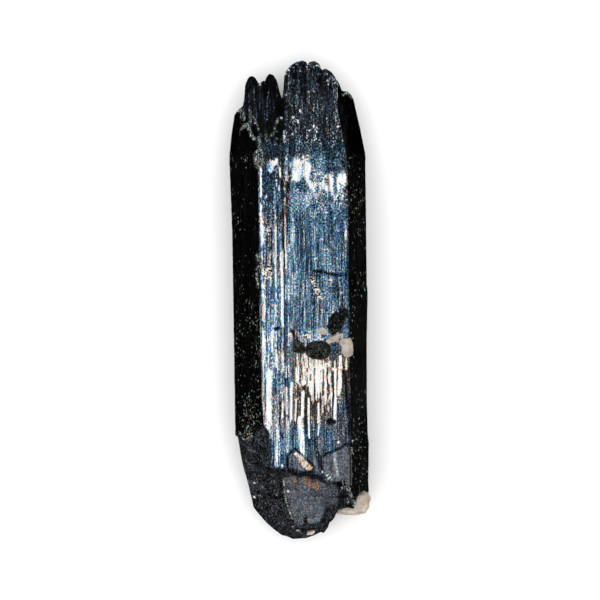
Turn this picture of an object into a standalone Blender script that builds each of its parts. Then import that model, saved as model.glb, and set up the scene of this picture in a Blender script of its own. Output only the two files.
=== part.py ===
"""An aegirine crystal, lying on its rear (100) face with its c axis along +Y.

Two prismatic individuals grew side by side, with a narrow suture between them. Spires and domes
stand on both at the +Y end, and the -Y end is broken. Small grains of feldspar and of a dark
silicate sit on the front face, and more feldspar clings to the broken base.

X runs across the crystal, Y along it and Z up, out of the front face. The origin is at the middle
of the underside. Blender's unit is the metre; points and sizes below are in millimetres, and MM
turns them into metres where a shape is made.
"""

import math

import bmesh
import bpy
from mathutils import Euler, Matrix, Vector

MM = 0.001
GAP = 0.3  # clearance between pieces that touch

# The whole crystal
TIP_Y = 38.0  # the highest tip
BASE_Y = -38.0  # the lowest point of the broken base
FRONT_Z = 12.0  # the front face, above the rear face at zero
LEFT_FRONT_Z = FRONT_Z - 0.3  # the left individual stands a little lower
SHOULDER_FRONT_Z = FRONT_Z - 0.35

# How far faces lean out of the plan, towards the front or the rear
PRISM_LEAN = 43.6  # (110) prism faces
CROWN_LEAN = 30.0  # steep pyramid faces round each tip
BREAK_LEAN = 22.0  # broken faces round the base
GRAIN_LEAN = 35.0  # sides of the small grains
DOME_TILT = 12.0  # the front and rear faces fall back this much above DOME_Y
DOME_Y = 23.7

# Outlines in plan, clockwise seen from the front. In an individual the first and the last side
# are its flanks, and those between are its crown.
LEFT_INDIVIDUAL = (
    (-10.2, -23.0), (-11.22, 22.6), (-10.45, 29.3), (-9.8, 30.4), (-8.7, 31.0), (1.5, 20.0), (1.5, -23.0),
)
RIGHT_INDIVIDUAL = (
    (-2.6, -28.0), (-2.95, 31.6), (-2.7, 33.4), (-2.0, 34.2), (5.4, 34.0), (6.3, 33.6), (7.55, 23.0),
    (8.1, -28.0),
)
RIGHT_SHOULDER = (
    (3.0, -31.0), (3.0, 33.15), (7.55, 33.15), (8.35, 32.3), (8.8, 30.6), (9.63, 26.9), (10.45, 22.5),
    (10.93, -31.0),
)
LEFT_SPIRE = (
    (-8.95, 12.0), (-8.75, 34.0), (-8.1, 35.4), (-7.55, 35.6), (-7.0, 35.2), (-6.4, 34.1), (-5.9, 12.0),
)
KNOB = ((-6.8, 12.0), (-6.4, 34.0), (-6.15, 34.65), (-5.8, 34.75), (-5.2, 33.4), (-4.9, 12.0))
SECOND_SPIRE = (
    (-5.8, 12.0), (-5.4, 34.7), (-5.15, 35.65), (-4.75, 35.9), (-4.1, 35.65), (-3.6, 34.95), (-2.85, 31.8),
    (-2.2, 12.0),
)
MAIN_DOME = (
    (-2.7, 12.0), (-2.5, 35.4), (-2.1, 36.5), (-1.4, 37.2), (-0.6, 37.7), (0.4, TIP_Y), (1.0, 37.7),
    (1.5, 36.6), (1.9, 12.0),
)
MIDDLE_DOME = ((0.9, 12.0), (1.35, 37.4), (1.7, 37.75), (2.3, 37.9), (3.0, 37.5), (3.55, 36.2), (4.0, 12.0))
RIGHT_DOME = (
    (3.0, 12.0), (3.5, 36.4), (4.05, 36.8), (4.95, 36.25), (5.45, 35.5), (6.15, 34.2), (6.75, 32.0),
    (7.25, 12.0),
)
BASE_OUTLINE = (
    (5.3, -20.0), (5.45, -34.4), (4.6, -36.2), (3.2, -37.2), (1.1, -37.9), (-0.9, BASE_Y), (-2.6, -37.6),
    (-4.2, -36.7), (-6.8, -34.0), (-7.8, -32.0), (-9.15, -26.6), (-9.85, -20.0),
)
LEFT_BREAK = ((2.0, -26.7), (-8.95, -26.9), (-10.05, -19.0))
CORNER_BREAK = ((8.7, -20.0), (8.85, -31.6), (7.2, -33.0), (5.0, -33.0), (3.0, -31.5))

# Broken faces, as a point on each and the way it faces
LEFT_FOOT = ((-8.0, -20.7, 6.0), (0.33, -0.94, 0.06))
RIGHT_FOOT = ((0.0, -27.1, 10.0), (-0.06, -0.98, 0.18))
SHOULDER_FOOT = ((6.1, -29.2, 6.0), (-0.20, -0.97, 0.08))
LEFT_CLEAVAGE = ((-4.65, -23.0, LEFT_FRONT_Z), (-0.68, -0.12, 0.72))
BASE_LEFT_CLEAVAGE = ((-2.9, -29.5, 9.4), (-0.60, -0.28, 0.75))
BASE_LEDGE = ((0.0, -27.4, 9.7), (0.05, -0.21, 0.98))
BASE_FRONT = ((1.0, -35.0, 8.1), (0.18, -0.83, 0.53))
BASE_FRONT_LEFT = ((-1.9, -34.0, 8.2), (-0.42, -0.68, 0.60))
CORNER_FACE = ((5.6, -29.6, 10.2), (0.22, -0.55, 0.80))

# The suture is a V groove between the two individuals
SUTURE_X = -2.75
SUTURE_LOW_Y = -4.0
SUTURE_DEPTH = 0.45
SUTURE_BAR = 1.4

# Growth ridges along the front face: left edge, right edge, lower end, upper end, height
RIDGES = (
    (-6.1, -4.7, 1.5, 22.0, 0.18),
    (-4.1, -3.2, -8.0, 19.0, 0.22),
    (-1.9, -0.7, -24.0, 3.0, 0.16),
    (-0.2, 1.2, 7.0, 24.5, 0.20),
    (0.9, 2.2, -22.0, -10.5, 0.18),
    (2.0, 3.6, 3.5, 22.5, 0.15),
    (3.1, 4.4, -19.5, -10.8, 0.22),
    (4.6, 6.4, 0.5, 23.5, 0.20),
    (5.2, 6.6, -21.5, -10.5, 0.15),
)
RIDGE_ROOT = 1.0  # how deep a ridge reaches into the face under it
RIDGE_END = 1.5

# A chip knocked off the lower edge of the front face
CHIP_CENTRE = (1.3, -26.6, FRONT_Z + 0.55)
CHIP_SIZE = (4.4, 3.4, 2.0)
CHIP_TURN = (14.0, 10.0, -49.0)

# Grains on the front face: outlines, and how far each stands out
GRAINS = {
    "feldspar_grain_left": (((2.6, -4.8), (3.65, -4.45), (4.3, -5.05), (3.95, -5.45), (3.25, -5.35)), 0.6),
    "feldspar_grain_middle": (
        ((4.55, -6.0), (5.95, -5.6), (6.15, -5.9), (5.95, -6.3), (4.95, -6.75), (4.6, -6.6)), 0.7,
    ),
    "feldspar_grain_right": (
        ((6.6, -6.45), (7.7, -6.2), (8.05, -6.9), (8.35, -8.1), (8.15, -8.6), (7.3, -8.9), (6.8, -8.55)), 1.2,
    ),
    "dark_crystal": (
        ((6.1, -1.4), (7.4, -1.45), (7.45, -2.4), (6.45, -4.4), (5.1, -5.1), (4.35, -3.95), (4.9, -2.5)), 1.3,
    ),
    "dark_angular_grain": (
        ((-1.1, -6.4), (-0.3, -6.2), (0.35, -6.5), (0.4, -7.6), (0.0, -8.35), (-0.9, -8.2), (-1.25, -7.4)), 0.9,
    ),
}
ROUND_GRAIN_CENTRE = (2.75, -7.9)
ROUND_GRAIN_SIZE = (3.7, 2.6, 2.8)  # before its underside is cut flat
ROUND_GRAIN_SUNK = 0.2  # how far its middle is above its flat underside

# Feldspar on the broken base
BASE_FELDSPAR = (
    (5.8, -33.9), (6.1, -31.6), (8.9, -30.3), (10.6, -30.6), (11.3, -31.6), (10.9, -33.1), (10.4, -33.9),
    (7.6, -34.15),
)
BASE_FELDSPAR_Z = (0.5, 7.0)
BOTTOM_GRAIN_SIZE = (1.1, 0.9, 0.6)
BOTTOM_GRAIN_XY = (1.7, -36.3)

AEGIRINE_COLOUR = (0.018, 0.026, 0.032)
FELDSPAR_COLOUR = (0.56, 0.47, 0.39)
SILICATE_COLOUR = (0.024, 0.026, 0.022)


def metres(values):
    """A point or size in millimetres, as a Vector in metres."""
    return Vector(values) * MM


def block(low, high):
    """A rectangular block between two corners."""
    bm = bmesh.new()
    bmesh.ops.create_cube(bm, size=1.0)
    size = [b - a for a, b in zip(low, high)]
    centre = [(a + b) / 2 for a, b in zip(low, high)]
    bmesh.ops.scale(bm, vec=metres(size), verts=bm.verts)
    bmesh.ops.translate(bm, vec=metres(centre), verts=bm.verts)
    return bm


def cleave(bm, point, normal):
    """Cut a convex body along a plane, drop what lies on the normal's side and close the cut."""
    geometry = bm.verts[:] + bm.edges[:] + bm.faces[:]
    cut = bmesh.ops.bisect_plane(
        bm, geom=geometry, dist=1e-8, plane_co=metres(point), plane_no=Vector(normal), clear_outer=True
    )
    rim = [part for part in cut["geom_cut"] if isinstance(part, bmesh.types.BMEdge)]
    if rim:
        bmesh.ops.edgeloop_fill(bm, edges=rim)


def cleave_side(bm, side, middle_z, flat, lean):
    """Cut the faces that rise from one side of an outline, to its left when it is followed.

    They stand upright for `flat` on both sides of middle_z, then lean in by `lean` degrees.
    """
    (x0, y0), (x1, y1) = side
    out = Vector((y0 - y1, x1 - x0)).normalized()
    cleave(bm, (x0, y0, middle_z), (*out, 0))
    across, along = math.cos(math.radians(lean)), math.sin(math.radians(lean))
    for way in (1, -1):
        cleave(bm, (x0, y0, middle_z + way * flat), (out.x * across, out.y * across, way * along))


def sides(outline):
    """Each side of an outline, as its two ends."""
    return list(zip(outline[:-1], outline[1:]))


def block_round(outline, low_z, high_z):
    """A block between two heights that holds an outline, with room to spare across it."""
    xs, ys = zip(*outline)
    return block((min(xs) - 1, min(ys), low_z), (max(xs) + 1, max(ys), high_z))


def individual(outline, low_z, high_z, flats, dome_y=DOME_Y, dome_tilt=DOME_TILT, crown_flat=0.3):
    """A prism with (110) faces on both flanks, a crown of steep faces, and falling domes."""
    bm = block_round(outline, low_z, high_z)
    middle_z = (low_z + high_z) / 2
    left, *crown, right = sides(outline)
    for flank, flat in zip((left, right), flats):
        cleave_side(bm, flank, middle_z, flat, PRISM_LEAN)
    for side in crown:
        cleave_side(bm, side, middle_z, crown_flat, CROWN_LEAN)
    tilt = math.radians(dome_tilt)
    cleave(bm, (0, dome_y, high_z), (0, math.sin(tilt), math.cos(tilt)))
    cleave(bm, (0, dome_y, low_z), (0, math.sin(tilt), -math.cos(tilt)))
    return bm


def with_faces(bm, *faces):
    """A body with more faces cut across it."""
    for point, normal in faces:
        cleave(bm, point, normal)
    return bm


def broken_block(outline, low_z, high_z, flat, *faces):
    """A block with broken sides round an outline, and other broken faces across it."""
    bm = block_round(outline, low_z, high_z)
    for side in sides(outline):
        cleave_side(bm, side, (low_z + high_z) / 2, flat, BREAK_LEAN)
    return with_faces(bm, *faces)


def ridge(left, right, low_y, high_y, height, base_z):
    """A long low growth ridge with sloping flanks and feathered ends, rooted below base_z."""
    top = base_z + height
    bm = block((left, low_y, base_z - RIDGE_ROOT), (right, high_y, top))
    for x, way in ((left, -1), (right, 1)):
        cleave(bm, (x - way * height, 0, top), (way, 0, 0.8))
    for y, way in ((low_y, -1), (high_y, 1)):
        cleave(bm, (0, y - way * RIDGE_END, top), (0, way * 0.3, 1))
    return bm


def crystal_bodies():
    """All that grew on the left individual, and the broken bodies of the base, by name."""
    bodies = {
        "right_individual": with_faces(
            individual(RIGHT_INDIVIDUAL, 0.25, FRONT_Z, (4.9, 4.4)), RIGHT_FOOT
        ),
        "right_shoulder": with_faces(
            individual(RIGHT_SHOULDER, 0.1, SHOULDER_FRONT_Z, (6.0, 2.75), dome_y=20.0, dome_tilt=15.0),
            SHOULDER_FOOT,
        ),
        "left_spire": individual(LEFT_SPIRE, 1.6, 9.0, (2.6, 2.2), crown_flat=0.2),
        "knob": individual(KNOB, 2.4, 8.3, (2.0, 2.0), crown_flat=0.2),
        "second_spire": individual(SECOND_SPIRE, 1.9, 9.4, (2.4, 2.0), crown_flat=0.2),
        "main_dome": individual(MAIN_DOME, 0.5, 12.15, (3.6, 3.2), dome_y=24.2, dome_tilt=12.5),
        "middle_dome": individual(MIDDLE_DOME, 0.7, 11.75, (3.4, 3.6), dome_y=22.4, dome_tilt=11.0),
        "right_dome": individual(RIGHT_DOME, 0.4, 12.05, (3.6, 3.9), dome_y=23.0, dome_tilt=13.0),
        "base": broken_block(
            BASE_OUTLINE, 0.05, 9.9, 2.2, BASE_LEDGE, BASE_LEFT_CLEAVAGE, BASE_FRONT, BASE_FRONT_LEFT
        ),
        "left_break": broken_block(LEFT_BREAK, 0.15, LEFT_FRONT_Z, 2.6, LEFT_CLEAVAGE),
        "corner_break": broken_block(CORNER_BREAK, 7.4, 11.4, 1.0, CORNER_FACE),
    }
    for number, (left, right, low_y, high_y, height) in enumerate(RIDGES, start=1):
        base_z = LEFT_FRONT_Z if right < SUTURE_X else FRONT_Z
        bodies[f"ridge_{number}"] = ridge(left, right, low_y, high_y, height, base_z)
    return bodies


def suture_cutter():
    """A long square bar turned on edge, which cuts the V groove of the suture."""
    half = SUTURE_BAR / 2
    bm = block((-half, SUTURE_LOW_Y, -half), (half, TIP_Y, half))
    bmesh.ops.rotate(bm, matrix=Matrix.Rotation(math.radians(45), 3, "Y"), verts=bm.verts)
    axis_z = FRONT_Z + half * math.sqrt(2) - SUTURE_DEPTH
    bmesh.ops.translate(bm, vec=metres((SUTURE_X, 0, axis_z)), verts=bm.verts)
    return bm


def chip_cutter():
    """A tilted block that knocks a three-cornered chip off the front face's lower edge."""
    half = [length / 2 for length in CHIP_SIZE]
    bm = block([-length for length in half], half)
    turn = Euler([math.radians(angle) for angle in CHIP_TURN]).to_matrix()
    bmesh.ops.rotate(bm, matrix=turn, verts=bm.verts)
    bmesh.ops.translate(bm, vec=metres(CHIP_CENTRE), verts=bm.verts)
    return bm


def angular_grain(outline, height):
    """A small grain on the front face, whose sides lean in all round an outline."""
    low_z = FRONT_Z + GAP
    bm = block_round(outline, low_z, low_z + height)
    for side in sides((*outline, outline[0])):
        cleave_side(bm, side, low_z + height * 0.35, 0.05, GRAIN_LEAN)
    return bm


def round_grain():
    """A rounded grain with a coarse, many-sided surface and a flat underside."""
    low_z = FRONT_Z + GAP
    bm = bmesh.new()
    bmesh.ops.create_icosphere(bm, subdivisions=2, radius=0.5)
    bmesh.ops.scale(bm, vec=metres(ROUND_GRAIN_SIZE), verts=bm.verts)
    bmesh.ops.translate(bm, vec=metres((*ROUND_GRAIN_CENTRE, low_z + ROUND_GRAIN_SUNK)), verts=bm.verts)
    cleave(bm, (*ROUND_GRAIN_CENTRE, low_z), (0, 0, -1))
    return bm


def base_feldspar():
    """The block of feldspar behind the corner of the broken base."""
    low_z, high_z = BASE_FELDSPAR_Z
    bm = block_round(BASE_FELDSPAR, low_z, high_z)
    for side in sides((*BASE_FELDSPAR, BASE_FELDSPAR[0])):
        cleave_side(bm, side, (low_z + high_z) / 2, 1.8, BREAK_LEAN)
    return bm


def bottom_grain():
    """A crumb of feldspar that lies against the steep front of the base, a gap away from it."""
    point, normal = Vector(BASE_FRONT[0]), Vector(BASE_FRONT[1]).normalized()
    x, y = BOTTOM_GRAIN_XY
    on_face = Vector((x, y, point.z - ((x - point.x) * normal.x + (y - point.y) * normal.y) / normal.z))
    half = [length / 2 for length in BOTTOM_GRAIN_SIZE]
    bm = block([-length for length in half], half)
    for corner in ((1, 1), (-1, 1), (1, -1), (-1, -1)):
        cleave(bm, (corner[0] * half[0] * 0.8, corner[1] * half[1] * 0.8, half[2]), (*corner, 0.9))
    bmesh.ops.rotate(bm, matrix=Vector((0, 0, 1)).rotation_difference(normal).to_matrix(), verts=bm.verts)
    bmesh.ops.translate(bm, vec=metres(on_face + normal * (GAP + half[2])), verts=bm.verts)
    return bm


def new_object(name, bm, collection, material=None):
    """An object made from a bmesh, with its faces turned outwards."""
    bmesh.ops.recalc_face_normals(bm, faces=bm.faces)
    mesh = bpy.data.meshes.new(name)
    bm.to_mesh(mesh)
    bm.free()
    if material:
        mesh.materials.append(material)
    made = bpy.data.objects.new(name, mesh)
    collection.objects.link(made)
    return made


def new_material(name, colour, roughness):
    """A stone's surface, as a Principled material."""
    material = bpy.data.materials.new(name)
    material.use_nodes = True
    shader = material.node_tree.nodes["Principled BSDF"]
    shader.inputs["Base Color"].default_value = (*colour, 1.0)
    shader.inputs["Roughness"].default_value = roughness
    return material


def new_collection(name):
    """A collection in the scene."""
    collection = bpy.data.collections.new(name)
    bpy.context.scene.collection.children.link(collection)
    return collection


def combine(target, other, operation):
    """Join another body to the target or take it away, and show the other as a guide only."""
    modifier = target.modifiers.new(other.name, "BOOLEAN")
    modifier.operation = operation
    modifier.solver = "EXACT"
    modifier.object = other
    other.hide_render = True
    other.display_type = "WIRE"


def aegirine_crystal(parts, guides):
    """The whole crystal as one solid: all that grew together, with its broken base."""
    material = new_material("aegirine", AEGIRINE_COLOUR, 0.28)
    left_individual = with_faces(
        individual(LEFT_INDIVIDUAL, 0.0, LEFT_FRONT_Z, (1.15, 6.0)), LEFT_FOOT
    )
    crystal = new_object("aegirine_crystal", left_individual, parts, material)
    for name, body in crystal_bodies().items():
        combine(crystal, new_object(name, body, guides), "UNION")
    for name, body in (("suture", suture_cutter()), ("chip", chip_cutter())):
        combine(crystal, new_object(name, body, guides), "DIFFERENCE")


def small_pieces(parts):
    """The grains on the front face and the feldspar on the broken base."""
    feldspar = new_material("feldspar", FELDSPAR_COLOUR, 0.6)
    silicate = new_material("dark_silicate", SILICATE_COLOUR, 0.45)
    for name, (outline, height) in GRAINS.items():
        material = feldspar if name.startswith("feldspar") else silicate
        new_object(name, angular_grain(outline, height), parts, material)
    new_object("dark_round_grain", round_grain(), parts, silicate)
    new_object("base_feldspar", base_feldspar(), parts, feldspar)
    new_object("bottom_feldspar_grain", bottom_grain(), parts, feldspar)


def main():
    for leftover in list(bpy.data.objects):
        bpy.data.objects.remove(leftover)
    parts = new_collection("aegirine_specimen")
    guides = new_collection("aegirine_specimen_guides")
    aegirine_crystal(parts, guides)
    small_pieces(parts)


main()
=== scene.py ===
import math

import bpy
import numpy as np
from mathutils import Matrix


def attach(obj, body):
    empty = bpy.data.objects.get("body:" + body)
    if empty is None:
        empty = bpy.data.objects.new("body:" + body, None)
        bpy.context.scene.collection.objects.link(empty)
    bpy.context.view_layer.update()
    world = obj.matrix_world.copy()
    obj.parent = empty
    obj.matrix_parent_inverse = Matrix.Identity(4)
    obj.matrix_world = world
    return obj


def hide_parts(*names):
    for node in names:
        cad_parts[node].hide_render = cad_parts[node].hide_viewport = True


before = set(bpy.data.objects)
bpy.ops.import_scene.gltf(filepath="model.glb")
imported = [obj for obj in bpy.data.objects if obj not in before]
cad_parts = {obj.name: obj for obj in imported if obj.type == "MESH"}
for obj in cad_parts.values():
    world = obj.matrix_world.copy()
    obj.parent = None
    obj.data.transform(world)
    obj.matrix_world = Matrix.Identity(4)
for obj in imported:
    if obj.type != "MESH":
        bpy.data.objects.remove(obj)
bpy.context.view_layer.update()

# Looks of the aegirine crystal. It lies on its rear face with its c axis along +Y, and the camera
# looks straight down on its front face. Lengths are in millimetres in the frame's own axes, and MM
# turns them into metres where a mesh, a texture or a lamp is made.

MM = 0.001

# The crystal's own frame
FRONT_Z = 12.0
LEFT_FRONT_Z = 11.72
SHOULDER_FRONT_Z = 11.65
LOWEST_FRONT_Z = 3.0
LEAST_THICKNESS = 0.3
# Right of UNDERCUT_X a band of shade is painted just under the front face's foot
UNDERCUT_X = -4.9  # the front face's foot is undercut to the right of this
REAR_BREAK_Y = -20.0  # the rear is broken below this
CORNER_Z = 7.3  # the rear's height over the corner that the feldspar fills
PRISM_SLOPE = 1.05  # how steeply a (110) face falls away from the front face
CROWN_SLOPE = 1.75
STEEP = 8.0  # slope of what lies outside a body's outline, so that bodies blend by their highest
ETCHED_DROP, ETCHED_SLOPE = 0.15, 2.2  # how the left individual falls away past its etched rim
STRIATION_DEPTH = 0.11
SUTURE_GROOVE, SUTURE_LIP = 0.13, 0.05  # depth and height along the contact of the two individuals
SUB_BLOCK_DEPTH, CHIP_DEPTH = 0.2, 0.32
CRUST_HEIGHT, RIM_HEIGHT = 0.13, 0.15
DOME_Y = 23.7  # where the front begins to fall back to the tip
LEFT_RIM_Z, RIGHT_RIM_Z, CROWN_Z = 7.0, 8.45, 6.3  # where the faces meet the side and the crown
END_OF_AXIS_Y = 38.0  # either end is this far from the middle
FRONT, SIDE, BREAK = 0, 1, 2  # kinds of face, in the order of the crystal's materials

# The photograph's own frame
PIXEL = 0.158333  # millimetres to one of its pixels
PHOTO_CENTRE = (300.4, 300.0)  # the pixel that lies over the frame's origin

# Silhouette: side edges as (y, x), the crown and the base as (x, y)
LEFT_EDGE = (
    (-32.9, -7.4), (-32.1, -7.55), (-29.3, -8.2), (-26.8, -8.9), (-24.5, -9.4), (-21.75, -9.85),
    (-21.4, -10.3), (-20.6, -10.25), (11.1, -10.75), (22.6, -11.2), (26, -10.9), (29.3, -10.4),
    (30.2, -9.8),
)
RIGHT_EDGE = (
    (-30.5, 10.9), (-28.8, 10.8), (-22.6, 10.9), (-21.2, 10.72), (-15.8, 10.58), (-6.3, 10.55),
    (1.3, 10.72), (2.4, 10.56), (15.8, 10.42), (21.9, 10.34), (22.5, 10.42), (23.4, 10.3), (26.9, 9.6),
    (30.4, 8.8), (31.8, 8.5),
)
CROWN = (
    (-9.8, 30.2), (-8.9, 30.85), (-8.8, 33), (-8.7, 34.1), (-8.4, 34.9), (-8.04, 35.4), (-7.55, 35.55),
    (-7.1, 35.25), (-6.5, 34.25), (-6.25, 34.4), (-5.86, 34.78), (-5.6, 34.7), (-5.3, 35.35),
    (-4.9, 35.9), (-4.2, 35.65), (-3.7, 34.9), (-3.23, 33.1), (-2.95, 31.95), (-2.8, 32.1),
    (-2.6, 33.1), (-2.5, 35.4), (-2.3, 36.15), (-2.05, 36.55), (-1.4, 37.25), (-0.6, 37.75), (0.4, 38),
    (1, 37.75), (1.2, 37.15), (1.45, 37.75), (2.3, 37.9), (3, 37.5), (3.4, 36.55), (3.6, 36.5),
    (4, 36.75), (4.95, 36.2), (5.45, 35.55), (5.7, 34.95), (6, 34.75), (6.3, 34.1), (6.65, 33.15),
    (7.5, 33.1), (8.1, 32.55), (8.5, 31.8),
)
BASE = (
    (-7.4, -32.9), (-6.75, -33.75), (-5.45, -35.3), (-4, -36.6), (-2.9, -37.4), (-2.1, -37.55),
    (-1.1, -38), (1.05, -37.85), (2.3, -37.4), (3.25, -36.9), (3.8, -37.05), (4.45, -36.1),
    (4.65, -35.2), (4.95, -35.05), (5.45, -34.5), (5.7, -33.8), (6, -33.2), (7.5, -32.85), (8.6, -33.1),
    (8.85, -32.1), (9.2, -30.7), (9.75, -30.3), (10.25, -30.1), (10.9, -30.45),
)

# Lines the mesh's columns follow, as (y, x)
FRONT_LEFT_LINE = (
    (-38, -0.5), (-35.9, -0.8), (-33.2, -1.75), (-30.4, -2.4), (-28.4, -2.9), (-27, -4.2),
    (-26.3, -4.65), (-20.8, -4.72), (-19.8, -5.5), (-15.8, -5.86), (6.3, -6.4), (23.75, -6.4),
    (38, -6.1),
)
SUTURE_LINE = ((-38, 0.6), (-30, -0.9), (-27, -2.2), (-20, -2.5), (31, -2.55), (32, -2.9), (38, -2.9))
FRONT_RIGHT_LINE = (
    (-38, 5.2), (-34.5, 5.9), (-32.5, 6.8), (-30.3, 7.85), (-15.8, 7.77), (15.8, 7.38), (19.5, 7.38),
    (21.85, 7.22), (24.2, 7), (25.5, 6.75), (27.5, 6.35), (30, 5.95), (34.8, 5.7), (38, 5.7),
)
COLUMNS = (30, 32, 80, 20)  # between the lines, left to right
ROWS = 380
SIDE_LEVELS = 5
BENT_Y = 20.0  # beyond this the rows bend towards the base and the crown
END_Y = 33.0  # where the search for each column's end starts, and how many rounds it takes
SEARCHES = 12


# ---- Numbers ----

def smooth(t):
    """An S curve from 0 to 1."""
    t = np.clip(t, 0.0, 1.0)
    return t * t * (3 - 2 * t)


def step(low, high, value):
    """0 below low, 1 above high and an S curve between."""
    return smooth((value - low) / (high - low))


def mix(a, b, t):
    """From a to b as t goes from 0 to 1."""
    return a + (b - a) * t


def crest(away, width):
    """1 on a line, falling away on both sides of it."""
    return np.exp(-(away / width) ** 2)


def line(points, at):
    """A line through points, read at a place."""
    places, values = zip(*points)
    return np.interp(at, places, values)


def hashed(i, j, seed):
    """A repeatable number from 0 to 1 for each pair of whole numbers."""
    mask = 0xFFFFFFFF
    n = (np.asarray(i).astype(np.int64) * 374761393 + np.asarray(j).astype(np.int64) * 668265263
         + seed * 1442695041) & mask
    n = ((n ^ (n >> 13)) * 1274126177) & mask
    return (n ^ (n >> 16)) / mask


def noise(x, y, size_x, size_y, seed):
    """Smooth noise from -1 to 1 with cells of a given size."""
    u, v = x / size_x + 100.5, y / size_y + 200.5
    i, j = np.floor(u), np.floor(v)
    s, t = smooth(u - i), smooth(v - j)
    low = mix(hashed(i, j, seed), hashed(i + 1, j, seed), s)
    high = mix(hashed(i, j + 1, seed), hashed(i + 1, j + 1, seed), s)
    return 2 * mix(low, high, t) - 1


def fractal(x, y, size_x, size_y, seed, octaves=3):
    """Noise with finer noise on it, each layer half as large and half as strong."""
    total = 0.0
    for octave in range(octaves):
        share = 0.5 ** octave
        total = total + share * noise(x, y, size_x * share, size_y * share, seed + octave)
    return total / 1.6


def laths(x, y, width, length, seed):
    """A number from 0 to 1 for each of many thin crystals side by side: crisp across, blended along."""
    wobble = 0.3 * width * noise(x, y, 2.5, 9.0, seed)
    column = np.floor((x + wobble) / width)
    place = y / length + 9 * hashed(column, 0, seed)
    low = np.floor(place)
    blend = step(0.8, 1.0, place - low)
    return mix(hashed(column, low, seed + 1), hashed(column, low + 1, seed + 1), blend)


def bump(x, y, centre, size):
    """1 at the middle of an oval, falling to 0 at its rim."""
    return np.clip(1 - (((x - centre[0]) / size[0]) ** 2 + ((y - centre[1]) / size[1]) ** 2), 0, 1)


def band(low, high, soft, value):
    """1 between two soft ends."""
    return step(low - soft, low + soft, value) * (1 - step(high - soft, high + soft, value))


def window(x, y, low_x, high_x, low_y, high_y, soft_x=0.3, soft_y=0.8):
    """1 inside a soft-edged rectangle."""
    return band(low_x, high_x, soft_x, x) * band(low_y, high_y, soft_y, y)


def inside_of(x, y, start, end):
    """How far a place is inside one side of an outline that is listed clockwise."""
    dx, dy = end[0] - start[0], end[1] - start[1]
    return ((x - start[0]) * dy - (y - start[1]) * dx) / math.hypot(dx, dy)


def near_path(x, y, points):
    """The distance to the nearest stretch of a path."""
    nearest = np.full(np.shape(x), np.inf)
    for (x0, y0), (x1, y1) in zip(points[:-1], points[1:]):
        dx, dy = x1 - x0, y1 - y0
        t = np.clip(((x - x0) * dx + (y - y0) * dy) / (dx * dx + dy * dy), 0, 1)
        nearest = np.minimum(nearest, np.hypot(x - x0 - t * dx, y - y0 - t * dy))
    return nearest


def on_plan(pixels):
    """Places over the plan, from x, y, x, y in the photograph's 600 x 600 pixels."""
    return tuple(((px - PHOTO_CENTRE[0]) * PIXEL, (PHOTO_CENTRE[1] - py) * PIXEL)
                 for px, py in zip(pixels[::2], pixels[1::2]))


def stroke(x, y, pixels, width, gaps=0.25, seed=90):
    """1 along a path given in photograph pixels, with ragged sides and with gaps along it."""
    half = width * PIXEL / 2
    away = near_path(x, y, on_plan(pixels)) + 0.05 * noise(x, y, 0.3, 0.9, seed)
    broken = step(2.2 * gaps - 1.3, 2.2 * gaps - 0.9, noise(x, y, 0.5, 1.0, seed + 1))
    return (1 - step(0.75 * half, 1.45 * half, away)) * broken


def patch(x, y, pixels, ragged=0.3, seed=95):
    """1 inside an outline given in photograph pixels, with an edge frayed along the crystal."""
    path = on_plan(pixels)
    closed = path + path[:1]
    inside = np.zeros(x.shape, dtype=bool)
    for (x0, y0), (x1, y1) in zip(closed[:-1], closed[1:]):
        crosses = (y0 > y) != (y1 > y)
        inside ^= crosses & (x < x0 + (y - y0) * (x1 - x0) / (y1 - y0 + 1e-9))
    distance = near_path(x, y, closed) * np.where(inside, 1, -1)
    return step(-0.12, 0.12, distance + ragged * fractal(x, y, 0.32, 1.3, seed))


def spot(x, y, pixel, size):
    """1 on a small round spot at a place given in photograph pixels."""
    (px, py), = on_plan(pixel)
    return 1 - step(0.3, 1.0, np.hypot(x - px, y - py) / (size * PIXEL))


# ---- The crystal's outer shape, as heights over the plan ----

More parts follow.
